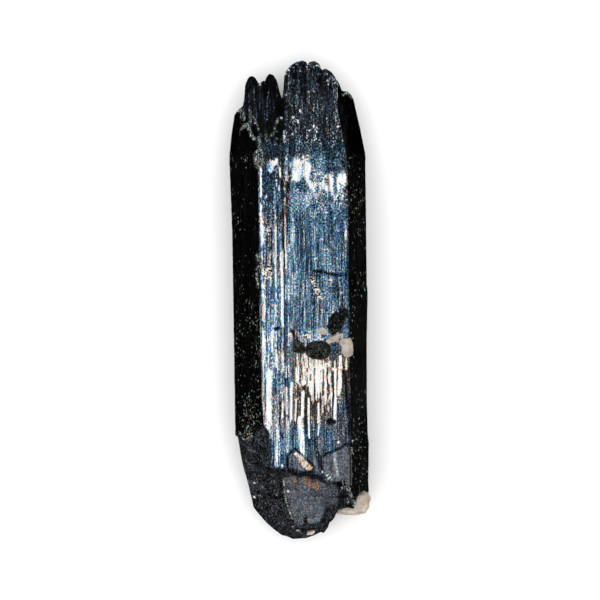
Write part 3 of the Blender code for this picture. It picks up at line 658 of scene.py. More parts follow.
# How thick the pale specks lie on the black sides, and how grey the right one is, as (y, share)
LEFT_SPECKS = (
    (-22, 0.95), (-20, 0.8), (-12, 0.6), (-3, 0.54), (6, 0.52), (12, 0.38), (20, 0.22), (22.4, 0.6),
    (24, 0.1), (36, 0),
)
RIGHT_SPECKS = (
    (-32, 0.5), (-20, 0.42), (-14, 0.32), (-5, 0.38), (0, 0.5), (12, 0.6), (18, 0.5), (22, 0.6),
    (24, 0.1), (30, 0), (32, 0.4),
)
RIGHT_GREY = ((-32, 0.28), (-20, 0.28), (-8, 0.27), (0, 0.14), (18, 0.14), (22, 0.1), (24, 0))
RUST_PATCHES = (
    (293, 478.5, 298, 477.8, 298, 482, 294, 483),
    (304.5, 477, 309.5, 478, 313, 482, 318.5, 482, 319, 488.5, 311, 488.5, 306.5, 484),
)
RUST_SPOTS = ((257.5, 480), (262.3, 486.6), (256.4, 495.4), (265.5, 475.5), (310, 442), (262.6, 494))
# Windows on the front, as low and high x, low and high y, and how soft their sides and ends are
GLARE = (-1.2, 8, -19.5, -8.4, 0.5, 1.5)
SLATE = (5, 9, -25, -15.5, 0.8, 1.5)
UNDER_CRACK = (1.4, 3.7, -28, -23.6)
WARM_WINDOWS = (  # strength and window
    (0.5, -6.5, -1, -20.5, -14, 0.3, 1.5), (0.7, 6.4, 8.4, -31, -28.2),
    (0.08, -1.5, 8, -9, 3.5, 0.5, 2), (0.45, *UNDER_CRACK),
)


def painted(tone, x, y):
    """The tone with the patches, which hold painted glare and painted shade, the dark gaps that break
    the glare into threads, and the streaks painted on.
    """
    for value, strength, frayed, *outline in PATCHES:
        tone = mix(tone, value, strength * patch(x, y, outline, frayed))
    # the upper band of painted glare is made blotchy
    glare_clots = fractal(x, y, 0.75, 0.85, 98) * step(11, 14, y) * (1 - step(22, 25, y))
    tone = tone * (1 + 0.55 * glare_clots)
    chip = patch(x, y, CHIP_LIT, 0.0)
    # dark gaps break the painted glare into threads along the striations
    gaps = step(0.28, 0.42, noise(x, y, 0.18, 2.2, 97)) * (1 - chip)
    tone = tone - mix(0.68, 0.12, step(5, 10, y)) * gaps * step(0.55, 0.85, tone)
    tone = tone - 0.5 * step(0.2, 0.5, noise(x, y, 0.28, 0.28, 99)) * chip
    for strength, share, streaks in STREAKS:
        for value, width, *path in streaks:
            tone = mix(tone, value, strength * stroke(x, y, path, width, share))
    return tone


def grown_tone(x, y, left):
    """How bright the grown front looks: threads and clouds over a tone that changes along it, with
    painted light at the crown's tips and painted highlights on the left individual's spires.
    """
    tone = np.where(left, line(LEFT_TONE_ALONG, y), line(TONE_ALONG, y))
    thread = mix(laths(x, y, 0.19, 7, 24), laths(x, y, 0.19, 1.0, 25), peppered(y))
    swing = 0.45 * (laths(x, y, 0.36, 13, 11) - 0.5) + 0.40 * (laths(x, y, 0.85, 20, 12) - 0.5)
    swing = swing + 0.75 * (thread - 0.5) + 0.30 * fractal(x, y, 1.1, 2.6, 51)
    tone = tone * (1 + swing + 0.16 * noise(x, y, 2.6, 6.0, 53) + 0.26 * fractal(x, y, 0.8, 1.1, 58))
    tone = tone * (1 + 0.8 * (laths(x, y, 0.33, 2.6, 14) - 0.5) * step(22.6, 25.0, y))
    # painted light: within reach of the crown's tips the steep faces are painted brighter against their
    # shade
    tip = near_path(x, y, CROWN)
    tone = tone * (1 + 0.45 * (1 - step(0.3, 2.2, tip)))
    # painted highlights in streaks on the dark spires of the left individual
    lit = step(0.15, 0.8, noise(x, y, 0.55, 4.5, 52)) * (1 - step(32, 35.5, y))
    tone = mix(tone, 0.20 * lit - 0.03, left * step(24.6, 26.5, y))
    # painted glints along the crown's tips
    glitter = step(0.30, 0.65, noise(x, y, 0.21, 0.30, 54)) * (1 - step(0.3, 1.5, tip))
    return mix(painted(tone, x, y), 0.54, (0.85 - 0.5 * left) * glitter)


def broken_tone(x, y):
    """How bright the broken base looks: charcoal with pale ridges, slate on its plateau, and painted
    shade just under the front's undercut foot.
    """
    tone = 0.13 + 0.05 * fractal(x, y, 1.2, 1.2, 55) + 0.04 * fractal(x, y, 0.5, 0.9, 56)
    ridge = 1 - step(0.0, 0.2, np.abs(noise(x + 0.8 * noise(x, y, 1.5, 1.5, 63), y, 0.55, 1.0, 64)))
    tone = tone + 0.17 * ridge * step(-0.2, 0.5, noise(x, y, 0.9, 0.9, 65))
    slate = 0.33 + 0.08 * fractal(x, y, 0.8, 0.9, 57) + 0.04 * noise(x, y, 1.6, 2.2, 66)
    tone = mix(tone, slate, patch(x, y, PLATEAU, 0.1))
    # painted shade: a dark band just under the front's undercut foot
    undercut = (1 - step(0.25, 0.6, line(FOOT, x) - y)) * (x > UNDERCUT_X)
    tone = mix(tone, 0.04, 0.85 * undercut)
    for value, *outline in BREAK_PATCHES:
        tone = mix(tone, value, 0.9 * patch(x, y, outline, 0.12))
    return tone + 0.14 * (laths(x, y, 0.33, 3, 67) - 0.5) * patch(x, y, SUB_BLOCK, 0.1)


def front_tone(x, y, kind):
    """How bright each place looks, from 0 to 1, with painted glare, glints and shade in it."""
    left = x < line(SUTURE_LINE, y)
    side = np.where(left, line(LEFT_SPECKS, y), line(RIGHT_SPECKS, y)) + 0.25 * noise(x, y, 1.5, 5, 59)
    tone = np.select([kind == FRONT, kind == SIDE], [grown_tone(x, y, left), side], broken_tone(x, y))
    # the glints are painted on
    for size, value, pixels in GLINTS:
        for pixel in pixels:
            tone = mix(tone, value, spot(x, y, pixel, size) * (kind != SIDE))
    return np.clip(tone, 0, 1)


def warm_mask(x, y):
    """1 where pale places look warm, 0 where they look blue."""
    # warm tint on the painted glare and on the chip's painted highlight
    glare = 0.9 * window(x, y, *GLARE) * (1 - 0.75 * window(x, y, *SLATE))
    suture = 0.9 * crest(x - line(SUTURE_LINE, y) - 0.1, 0.3) * step(2, 6, y) * (1 - step(18, 20, y))
    drift = 0.45 * step(0.1, 0.7, noise(x, y, 1.3, 3.5, 60))
    chip = np.maximum(0.45 * patch(x, y, CHIP, 0.05), patch(x, y, CHIP_LIT, 0.2))
    windows = [strength * window(x, y, *place) for strength, *place in WARM_WINDOWS]
    warm = np.maximum.reduce([0.4 * step(23.5, 27, y) + glare, suture, drift, chip, *windows])
    return np.clip(warm, 0, 1)


def rust_mask(x, y):
    """1 on the iron stain of the broken base."""
    stains = [patch(x, y, outline, 0.35, 61) for outline in RUST_PATCHES]
    return np.maximum.reduce(stains + [0.6 * spot(x, y, pixel, 1.4) for pixel in RUST_SPOTS])


# ---- The rear ----

def rear_surface(x, y):
    """The rear height over the plan. The rear mirrors the front's faces, and is flat at zero."""
    tops = [grown_height(x, y, body, min(body["front"] + 0.2, FRONT_Z)) for body in BODIES]
    broken = FRONT_Z - 0.4 - 2.4 * np.maximum(0, line(BASE, x) + 2.0 - y)
    broken = broken - 1.4 * np.maximum(0, line(LEFT_EDGE, y) + 2.5 - x) - STEEP * np.maximum(0, x - 5.4)
    tops.append(np.where(y < REAR_BREAK_Y, broken, LOWEST_FRONT_Z))
    rear = FRONT_Z - np.clip(np.maximum.reduce(tops), LOWEST_FRONT_Z, FRONT_Z)
    corner = step(5.2, 5.5, x) * step(-30.3, -30.9, y)
    rear = mix(rear, np.maximum(rear, CORNER_Z), corner)
    striae = 0.05 * laths(x, y, 0.5, 15, 71) + 0.05 * laths(x, y, 1.4, 25, 72)
    chips = 0.12 * np.maximum(0, fractal(x, y, 2.5, 3.5, 73))
    return rear + striae + (chips + 0.3 * step(0.45, 0.7, noise(x, y, 2.8, 6, 74)))


def kind_behind(x, y):
    """The kind of face at places on the sides and the rear: broken below the same foot as the front."""
    return np.where(y < line(FOOT, x) - 0.4 + 0.7 * noise(x, y, 1.4, 1.4, 83), BREAK, SIDE)


# ---- Meshes ----

def plan_grid():
    """Places over the plan, in columns that follow the crystal's edges and rows bent to its ends."""
    lines = (LEFT_EDGE, FRONT_LEFT_LINE, SUTURE_LINE, FRONT_RIGHT_LINE, RIGHT_EDGE)
    # each column's share of the way across: 0 to 4 run over the five lines
    share = [k + part / count for k, count in enumerate(COLUMNS) for part in range(count)]
    share = np.array([*share, len(COLUMNS)])
    column = np.arange(share.size)
    between = np.minimum(share.astype(int), len(lines) - 2)

    def across(y):
        """The x of every column, each at its own y."""
        stops = np.stack([line(points, y) for points in lines])
        return mix(stops[between, column], stops[between + 1, column], share - between)

    levels = np.linspace(-END_OF_AXIS_Y, END_OF_AXIS_Y, ROWS + 1)
    y = np.repeat(levels[:, None], share.size, axis=1)
    for outline, way in ((BASE, -1), (CROWN, 1)):
        end, bend = np.full(share.size, way * END_Y), way * BENT_Y
        for _ in range(SEARCHES):
            end = line(outline, across(end))
        bent = bend + (y - bend) * (end - bend) / (way * END_OF_AXIS_Y - bend)
        y = np.where((y - bend) * way > 0, bent, y)
    return np.stack([across(row) for row in y]), y


def sheet_faces(rows, columns, offset):
    """The quads of a sheet of rows and columns of points, anticlockwise seen from the front."""
    row, column = np.mgrid[0:rows, 0:columns]
    first = offset + row * (columns + 1) + column
    return np.stack([first, first + 1, first + columns + 2, first + columns + 1], axis=-1).reshape(-1, 4)


def border(rows, columns, offset):
    """The indices round a sheet's border, anticlockwise seen from the front."""
    index = offset + np.arange((rows + 1) * (columns + 1)).reshape(rows + 1, columns + 1)
    return np.concatenate([index[0, :-1], index[:-1, -1], index[-1, :0:-1], index[:0:-1, 0]])


def new_mesh(name, points, faces, materials, face_material=None, masks=None):
    """A mesh object from points in millimetres, with each face's material and each point's masks."""
    mesh = bpy.data.meshes.new(name)
    mesh.from_pydata((np.asarray(points) * MM).tolist(), [], [list(face) for face in faces])
    for material in materials:
        mesh.materials.append(material)
    if face_material is not None:
        mesh.polygons.foreach_set("material_index", np.asarray(face_material, dtype=np.int32))
    for mask, values in (masks or {}).items():
        layer = mesh.attributes.new(mask, "FLOAT", "POINT")
        layer.data.foreach_set("value", np.asarray(values, dtype=np.float32))
    mesh.shade_smooth()
    made = bpy.data.objects.new(name, mesh)
    bpy.context.scene.collection.objects.link(made)
    return made


def crystal_mesh(materials):
    """The crystal as a fine front sheet and a coarser rear sheet, joined round the silhouette."""
    columns = sum(COLUMNS)
    x, y = plan_grid()
    height, kind, masks = front_surface(x, y)
    rear_x, rear_y = x[::2, ::2], y[::2, ::2]
    rear = np.minimum(rear_surface(rear_x, rear_y), height[::2, ::2] - LEAST_THICKNESS)
    points = np.concatenate([np.stack(sheet, axis=-1).reshape(-1, 3)
                             for sheet in ((x, y, height), (rear_x, rear_y, rear))])
    faces = [sheet_faces(ROWS, columns, 0), sheet_faces(ROWS // 2, columns // 2, x.size)[:, ::-1]]

    front_rim, rear_rim = border(ROWS, columns, 0), border(ROWS // 2, columns // 2, x.size)
    rear_next = np.roll(rear_rim, -1)
    # the rear rim has every second point of the front one, so the points between are made up
    low = np.repeat(points[rear_rim], 2, axis=0)
    low[1::2] = (points[rear_rim] + points[rear_next]) / 2
    top, upper = points[front_rim], front_rim
    for level in range(1, SIDE_LEVELS):
        share = level / SIDE_LEVELS
        ring = mix(top, low, share)
        out = 0.05 * np.sin(math.pi * share) * noise(ring[:, 1], ring[:, 2], 0.7, 1.2, 81)
        ring[:, 0] += out * np.sign(ring[:, 0])
        lower = len(points) + np.arange(len(ring))
        faces.append(np.stack([upper, lower, np.roll(lower, -1), np.roll(upper, -1)], axis=-1))
        points = np.concatenate([points, ring])
        upper = lower
    after, beyond = np.roll(upper, -1)[::2], np.roll(upper, -2)[::2]
    faces.append(np.stack([after, rear_rim, rear_next, beyond], axis=-1))
    faces = np.concatenate(faces).tolist() + np.stack([upper[::2], rear_rim, after], axis=-1).tolist()

    front_kind = np.minimum.reduce([kind[:-1, :-1], kind[1:, 1:], kind[1:, :-1], kind[:-1, 1:]]).ravel()
    rear_kind = kind_behind(rear_x[:-1, :-1], rear_y[:-1, :-1]).ravel()
    strip = points[[face[0] for face in faces[front_kind.size + rear_kind.size:]]]
    face_kind = np.concatenate([front_kind, rear_kind, kind_behind(strip[:, 0], strip[:, 1])])
    behind = points[x.size:]
    full = {name: np.append(values, np.zeros(len(behind))) for name, values in masks.items()}
    full["tone"][x.size:] = 0.25 + 0.15 * noise(behind[:, 0], behind[:, 1], 1.5, 6, 82)
    full["tone"][front_rim] = np.minimum(full["tone"][front_rim], 0.12)
    return new_mesh("aegirine", points, faces, materials, face_kind, full)


# ---- Materials ----

LIGHT = 1.5  # how much brighter the front looks than its own colour under the studio light
WHITE = (1.0, 1.0, 1.0)


def seen(*look):
    """The colour a surface needs to look, under the studio light, like a colour of 0 to 255."""
    parts = [value / 255 for value in look]
    linear = [((part + 0.055) / 1.055) ** 2.4 if part > 0.04 else part / 12.92 for part in parts]
    return tuple(part / LIGHT for part in linear)


class Nodes:
    """A short way to add and join one material's nodes."""

    def __init__(self, name):
        self.material = bpy.data.materials.new(name)
        self.material.use_nodes = True
        self.tree = self.material.node_tree
        self.place = self.add("ShaderNodeTexCoord", {}).outputs["Object"]

    def feed(self, node, inputs):
        """Set a node's inputs to numbers or colours, or join other nodes' sockets to them."""
        for name, value in inputs.items():
            if isinstance(value, bpy.types.NodeSocket):
                self.tree.links.new(value, node.inputs[name])
            else:
                node.inputs[name].default_value = (*value, 1.0) if isinstance(value, tuple) else value

    def add(self, kind, inputs, **settings):
        """A new node with some of its settings and inputs filled in."""
        node = self.tree.nodes.new(kind)
        for name, value in settings.items():
            setattr(node, name, value)
        self.feed(node, inputs)
        return node

    def math(self, operation, a, b, clamp=False):
        return self.add("ShaderNodeMath", {0: a, 1: b}, operation=operation, use_clamp=clamp).outputs[0]

    def times(self, product, *values):
        """Values multiplied together."""
        for value in values:
            product = self.math("MULTIPLY", product, value)
        return product

    def plus(self, a, b):
        """A sum kept from 0 to 1."""
        return self.math("ADD", a, b, clamp=True)

    def around(self, value, share):
        """A share of how far a value is from one half."""
        return self.times(self.math("SUBTRACT", value, 0.5), share)

    def range(self, value, low, high, new_low=0.0, new_high=1.0):
        """A value from low to high, moved to run from new_low to new_high."""
        inputs = dict(enumerate((value, low, high, new_low, new_high)))
        return self.add("ShaderNodeMapRange", inputs).outputs["Result"]

    def noise(self, *cells, detail=2.0, output="Fac"):
        """Noise whose cells are so many millimetres along X, Y and Z."""
        inputs = {"Vector": self.place, "Scale": [1 / (cell * MM) for cell in cells]}
        place = self.add("ShaderNodeMapping", inputs).outputs["Vector"]
        inputs = {"Vector": place, "Scale": 1.0, "Detail": detail}
        return self.add("ShaderNodeTexNoise", inputs).outputs[output]

    def mask(self, name):
        """One of the mesh's own masks."""
        return self.add("ShaderNodeAttribute", {}, attribute_name=name).outputs["Fac"]

    def fade(self, name, without, full):
        """A number that goes from one value to another as a mask goes from 0 to 1."""
        return self.range(self.mask(name), 0.0, 1.0, without, full)

    def ramp(self, value, *stops):
        """Colours along a value, as (place, colour)."""
        node = self.add("ShaderNodeValToRGB", {"Fac": value})
        elements = node.color_ramp.elements
        while len(elements) < len(stops):
            elements.new(1.0)
        for element, (place, colour) in zip(elements, stops):
            element.position = place
            element.color = (*colour, 1.0)
        return node.outputs["Color"]

    def blend(self, a, b, factor, kind="MIX"):
        inputs = {"Factor": factor, "A": a, "B": b}
        return self.add("ShaderNodeMix", inputs, data_type="RGBA", blend_type=kind).outputs["Result"]

    def tinted(self, colour, cells, reach, strength=1.0):
        """A colour that wavers grain by grain from cooler to warmer, and a little from purple to green.
        Strength says how much of this shows."""
        noise = self.noise(*cells, detail=1.0, output="Color")
        parts = self.add("ShaderNodeSeparateColor", {"Color": noise}).outputs
        waver = {}
        for name, part, share in (("Red", "Red", 1.1), ("Green", "Green", 0.5), ("Blue", "Red", -0.65)):
            waver[name] = self.range(parts[part], 0.3, 0.7, 1 - share * reach, 1 + share * reach)
        waver = self.add("ShaderNodeCombineColor", waver).outputs["Color"]
        return self.blend(colour, waver, strength, "MULTIPLY")

    def crusted(self, colour):
        """A colour under the brownish white crust, which is dark in its hollows."""
        crust = self.ramp(self.noise(0.29, 0.30, 0.30, detail=1.0), (0.44, seen(24, 21, 19)),
                          (0.485, seen(176, 150, 126)), (0.53, (0.95, 0.93, 0.90)))
        return self.blend(colour, crust, self.mask("crust"))

    def etched(self, colour):
        """A colour under the grey-green etched edges, which are dark in their hollows."""
        edge = self.ramp(self.noise(0.24, 0.24, 0.24), (0.40, seen(14, 19, 16)),
                         (0.52, seen(116, 132, 120)), (0.62, seen(236, 250, 242)))
        return self.blend(colour, edge, self.mask("rim"))

    def relief(self, *layers):
        """The normal of fine relief, from (height, depth in millimetres) with the coarsest first."""
        normal = {}
        for height, depth in layers:
            bump = self.add("ShaderNodeBump", {"Height": height, "Distance": depth * MM, **normal})
            normal = {"Normal": bump.outputs["Normal"]}
        return bump.outputs["Normal"]

    def finish(self, colour, roughness, **inputs):
        """Fill in the shader, with its other inputs by name."""
        inputs = {name.replace("_", " "): value for name, value in inputs.items()}
        inputs.update({"Base Color": colour, "Roughness": roughness})
        self.feed(self.tree.nodes["Principled BSDF"], inputs)
        return self.material


def front_material():
    """The striated front: steel blue under a fine iridescent grain, with its sheen and the glare where
    it shines painted into its colour.
    """
    nodes = Nodes("aegirine_front")
    tone = nodes.mask("tone")
    fibre = nodes.noise(0.17, 4.0, 1.0)
    grain = nodes.noise(0.17, 0.29, 0.5)
    glint = nodes.noise(0.22, 0.30, 0.5, detail=1.0)
    swing = nodes.math("ADD", nodes.around(fibre, nodes.fade("pepper", 1.35, 0.6)),
                       nodes.around(grain, nodes.fade("pepper", 1.7, 2.4)))
    calm = nodes.mask("calm")
    share = nodes.times(nodes.range(tone, 0.0, 0.22, 0.25, 1.0), nodes.range(tone, 0.75, 0.95, 1.0, 0.5),
                        nodes.fade("crown", 1.0, 1.6), nodes.range(calm, 0.6, 1.0, 1.0, 0.6))
    level = nodes.plus(tone, nodes.times(swing, share))
    # painted glints in the grain
    sparkle = nodes.times(nodes.range(glint, 0.70, 0.78), nodes.range(tone, 0.05, 0.2, 0.0, 0.5))
    level = nodes.plus(level, sparkle)
    cool = nodes.ramp(level, (0.0, seen(1, 2, 3)), (0.14, seen(24, 34, 43)), (0.28, seen(40, 72, 99)),
                      (0.42, seen(66, 115, 153)), (0.60, seen(118, 166, 201)),
                      (0.78, seen(196, 218, 234)), (0.91, WHITE))
    warm = nodes.ramp(level, (0.0, seen(3, 3, 3)), (0.14, seen(34, 36, 39)), (0.28, seen(68, 72, 79)),
                      (0.40, seen(118, 106, 100)), (0.56, seen(204, 160, 124)),
                      (0.72, seen(253, 226, 198)), (0.98, WHITE))
    tint = nodes.times(nodes.range(level, 0.6, 0.95, 1.0, 0.4), nodes.fade("calm", 1.0, 0.4))
    colour = nodes.tinted(nodes.blend(cool, warm, nodes.mask("warm")), (0.19, 0.42, 0.4), 0.88, tint)
    dull = nodes.math("ADD", nodes.range(grain, 0.2, 0.8, 0.25, 0.42), nodes.fade("crown", 0.0, 0.35))
    return nodes.finish(nodes.etched(nodes.crusted(colour)), dull, IOR=1.45,
                        Normal=nodes.relief((fibre, 0.06), (grain, 0.04)),
                        Metallic=nodes.fade("crown", 0.75, 0.2))


def side_material():
    """The black prism faces: glossy, with sparse pale specks drawn out along the crystal."""
    nodes = Nodes("aegirine_side")
    fibre = nodes.noise(0.35, 4.0, 0.4)
    speck = nodes.noise(0.22, 0.42, 0.4, detail=1.0)
    past = nodes.math("SUBTRACT", speck, nodes.fade("tone", 0.80, 0.56))
    lit = nodes.math("MULTIPLY", past, 10.0, clamp=True)
    black = nodes.ramp(fibre, (0.35, seen(1, 1, 1)), (0.5, seen(3, 3, 3)), (0.68, seen(9, 9, 9)))
    black = nodes.blend(black, seen(32, 32, 31), nodes.mask("grey"))
    colour = nodes.blend(black, nodes.tinted(seen(150, 158, 143), (0.5, 0.9, 0.5), 0.44), lit)
    return nodes.finish(nodes.crusted(nodes.etched(colour)), nodes.range(fibre, 0.3, 0.7, 0.18, 0.34),
                        IOR=1.6, Normal=nodes.relief((fibre, 0.06), (speck, 0.03)))


def break_material():
    """The broken base: charcoal to blue-grey, uneven, with iron stain and green-grey rims."""
    nodes = Nodes("aegirine_break")
    tone = nodes.mask("tone")
    grain = nodes.noise(0.18, 0.28, 0.35)
    cloud = nodes.noise(1.4, 1.4, 1.4, detail=3.0)
    swing = nodes.math("ADD", nodes.around(grain, 1.35), nodes.around(cloud, 0.4))
    level = nodes.plus(tone, nodes.times(swing, nodes.range(tone, 0.15, 0.33, 1.0, 0.62)))
    colour = nodes.ramp(level, (0.0, seen(2, 2, 2)), (0.15, seen(34, 34, 37)), (0.33, seen(76, 81, 91)),
                        (0.6, seen(150, 158, 168)), (1.0, seen(255, 255, 255)))
    colour = nodes.tinted(colour, (0.26, 0.26, 0.3), 0.42)
    stain = nodes.ramp(grain, (0.38, seen(84, 62, 48)), (0.5, seen(140, 100, 74)),
                       (0.62, seen(190, 140, 106)))
    rust = nodes.times(nodes.mask("rust"), nodes.range(grain, 0.36, 0.5, 0.25, 1.0))
    colour = nodes.etched(nodes.blend(colour, stain, rust))
    return nodes.finish(colour, nodes.range(grain, 0.3, 0.7, 0.35, 0.6), Specular_IOR_Level=0.25,
                        Normal=nodes.relief((cloud, 0.25), (grain, 0.10)))


def feldspar_material():
    """Cream feldspar: fine grained, a little pink, with darker pores and a dull skin."""
    nodes = Nodes("feldspar_skin")
    grain = nodes.noise(0.25, 0.25, 0.25, detail=3.0)
    cloud = nodes.noise(1.3, 1.3, 1.3, detail=3.0)
    pore = nodes.noise(0.3, 0.3, 0.3, detail=1.0)
    colour = nodes.ramp(cloud, (0.3, seen(210, 194, 178)), (0.5, seen(228, 212, 196)),
                        (0.7, seen(240, 228, 214)))
    colour = nodes.blend(colour, seen(150, 132, 114), nodes.range(grain, 0.5, 0.7, 0.0, 0.7))
    pores = nodes.times(nodes.range(pore, 0.60, 0.72, 0.0, 0.8), nodes.range(cloud, 0.4, 0.6, 0.2, 1.0))
    colour = nodes.blend(colour, seen(176, 130, 96), pores)
    dark = nodes.times(nodes.mask("darkening"), nodes.range(cloud, 0.35, 0.6, 1.0, 0.35))
    colour = nodes.blend(colour, seen(112, 106, 104), dark)
    colour = nodes.tinted(colour, (0.25, 0.25, 0.25), 0.16)
    return nodes.finish(colour, nodes.range(grain, 0.3, 0.7, 0.45, 0.65), IOR=1.53,
                        Normal=nodes.relief((cloud, 0.15), (grain, 0.08)))


def silicate_material():
    """Dark silicate grains: greenish black, uneven and slightly glossy, with painted glints."""
    nodes = Nodes("dark_silicate_skin")
    grain = nodes.noise(0.20, 0.20, 0.22)
    cloud = nodes.noise(0.6, 0.8, 0.6)
    glint = nodes.noise(0.24, 0.27, 0.26, detail=1.0)
    level = nodes.math("ADD", grain, nodes.around(cloud, 0.9))
    colour = nodes.ramp(level, (0.36, seen(8, 9, 8)), (0.51, seen(40, 42, 39)), (0.62, seen(74, 77, 73)),
                        (0.74, seen(122, 128, 122)))
    colour = nodes.blend(colour, seen(44, 60, 42), nodes.range(cloud, 0.5, 0.7, 0.0, 0.4))
    # painted glints
    colour = nodes.blend(colour, seen(160, 168, 160), nodes.range(glint, 0.70, 0.78, 0.0, 0.9))
    dark = nodes.times(nodes.mask("darkening"), nodes.range(grain, 0.50, 0.64, 0.95, 0.25))
    colour = nodes.blend(colour, seen(2, 3, 2), dark)
    return nodes.finish(colour, nodes.range(grain, 0.3, 0.7, 0.3, 0.55), Specular_IOR_Level=0.15,
                        Normal=nodes.relief((cloud, 0.3), (grain, 0.15)))


def floor_material():
    """An even pale grey."""
    nodes = Nodes("pale_floor")
    cloud = nodes.noise(400.0, 400.0, 400.0)
    return nodes.finish(nodes.ramp(cloud, (0.3, (0.86, 0.86, 0.86)), (0.7, (0.88, 0.88, 0.88))), 0.9)


# ---- Small pieces ----

GRAIN_SINK = 0.05  # how deep a grain's rim lies in the front face
GRAIN_RINGS, GRAIN_SPOKES = 16, 72
GRAIN_SKIRT = ((1.0, 0.12), (0.8, 0.2))  # rings below the rim: share of its reach, and depth
# Outline, height, number of facets, roughness, and how much darker its colour is in blotches
GRAINS = {
    "feldspar_grain_left": (
        ((2.5, -4.8), (3.7, -4.3), (4.5, -5.1), (4.1, -5.55), (3.2, -5.45)), 0.75, 5, 0.05, 0.3),
    "feldspar_grain_middle": (
        ((3.95, -6.45), (4.55, -6), (5.15, -5.65), (6.35, -5.25), (6.85, -5.3), (6.85, -5.95),
         (5.7, -6.55), (5.15, -6.75), (4.4, -6.95)), 0.8, 5, 0.05, 0.45),
    "feldspar_grain_right": (
        ((6.15, -6.4), (6.75, -6), (8.05, -6), (8.3, -6.8), (8.4, -7.9), (8.3, -8.7), (7.75, -9.05),
         (7.15, -8.95), (6.6, -8.4), (6.5, -7.35), (6.15, -6.9)), 1.3, 6, 0.06, 0.5),
    "dark_crystal": (
        ((6.1, -1.25), (7.5, -1.35), (7.6, -2.35), (6.5, -4.6), (5.05, -5.85), (4, -4), (4.8, -2.5)),
        1.6, 7, 0.14, 1.0),
    "dark_angular_grain": (
        ((-1.25, -6.3), (-0.6, -6.1), (0.75, -6.9), (0.75, -8.5), (-0.2, -8.4), (-1.1, -8.2)),
        1.0, 5, 0.12, 0.0),
    "dark_round_grain": (
        ((0.7, -7.9), (1, -7), (2, -6.5), (3.4, -6.4), (4.5, -6.8), (5, -7.8), (4.5, -9), (3.4, -9.5),
         (1.9, -9.3), (1, -8.7)), 1.7, 3, 0.28, 0.66),
}
BOTTOM_GRAIN = (
    ((1.05, -37.3), (1.2, -36.3), (1.6, -36.1), (2.35, -36.3), (2.35, -36.95), (1.9, -37.3)),
    2.1, 3, 0.05, 0.0,
)
BOTTOM_GRAIN_Z = 4.9
FELDSPAR_DOME, SILICATE_DOME, BOTTOM_DOME = 8.0, 10 / 3, 10.0  # powers: the higher, the flatter on top
GRAIN_SEED, BOTTOM_SEED = 200, 231
BASE_FELDSPAR = (
    (5.5, -33.9), (5.9, -31.8), (9, -30.2), (9.75, -30.25), (10.25, -30.05), (10.75, -30.4),
    (11.27, -31.55), (10.9, -32.95), (10.4, -33.9), (8.9, -34.1), (7.6, -34.15),
)
BLOCK_Z = (0.55, 7.25)  # bottom and top
BLOCK_LEVELS, BLOCK_SPOKES, BLOCK_RINGS = 22, 120, 12


def closed_body(first, rings, last, upward):
    """The points and faces of a body: a point, rings anticlockwise seen from the front, and a point.
    The rings come down from the first point to the last, or climb if upward."""
    count = len(rings[0])
    last_index = 1 + len(rings) * count
    around = [(1 + k, 1 + (k + 1) % count) for k in range(count)]
    faces = [(0, here, after) for here, after in around]
    for start in range(0, (len(rings) - 1) * count, count):
        faces += [(start + here, start + count + here, start + count + after, start + after)
                  for here, after in around]
    start = (len(rings) - 1) * count
    faces += [(start + here, last_index, start + after) for here, after in around]
    if upward:
        faces = [(face[0], *face[:0:-1]) for face in faces]
    return np.concatenate([[first], *rings, [last]]), faces


def reach_of(outline, centre, direction):
    """How far an outline is from its centre in each direction."""
    reach = np.full(len(direction), np.inf)
    for start, end in zip(outline, np.roll(outline, -1, axis=0)):
        edge, away = end - start, start - centre
        cross = direction[:, 0] * edge[1] - direction[:, 1] * edge[0]
        with np.errstate(divide="ignore", invalid="ignore"):
            distance = (away[0] * edge[1] - away[1] * edge[0]) / cross
            along = (away[0] * direction[:, 1] - away[1] * direction[:, 0]) / cross
        hit = (distance > 0) & (along >= -1e-6) & (along <= 1 + 1e-6)
        reach = np.where(hit, np.minimum(reach, distance), reach)
    return reach


def grain_mesh(name, grain, low_z, seed, material, dome):
    """A grown-on grain: a closed lump over an outline, cut by a few random facets."""
    outline, height, facets, roughness, darkening = grain
    rng = np.random.default_rng(seed)
    outline = np.array(outline)
    centre = outline.mean(axis=0)
    angles = np.linspace(0, 2 * math.pi, GRAIN_SPOKES, endpoint=False)
    direction = np.stack([np.cos(angles), np.sin(angles)], axis=-1)
    reach = reach_of(outline, centre, direction) * (1 + 0.05 * noise(angles * 3, seed, 0.7, 1.0, seed))
    planes = [(rng.normal(0, 0.5, 2), rng.uniform(0.80, 1.0)) for _ in range(facets)]
    rings = []
    for k in range(GRAIN_RINGS + 1):
        share = math.sin(0.5 * math.pi * k / GRAIN_RINGS)
        ring = centre + direction * (reach * share)[:, None]
        z = height * (1 - share ** dome) ** 0.5
        for slope, level in planes:
            z = np.minimum(z, height * (level - ((ring - centre) / reach.mean()) @ slope))
        rough = roughness * fractal(ring[:, 0], ring[:, 1], 0.5, 0.5, seed + 3) * (1 - share ** 4)
        rings.append(np.column_stack([ring, low_z + np.maximum(np.maximum(z, 0) + rough, 0)]))
    for share, depth in GRAIN_SKIRT:
        ring = centre + direction * (reach * share)[:, None]
        rings.append(np.column_stack([ring, np.full(GRAIN_SPOKES, low_z - depth)]))
    lowest = (*centre, low_z - GRAIN_SKIRT[-1][1])
    body, faces = closed_body(rings[0][0], rings[1:], lowest, upward=False)
    return new_mesh(name, body, faces, [material], masks=dict(darkening=np.full(len(body), darkening)))


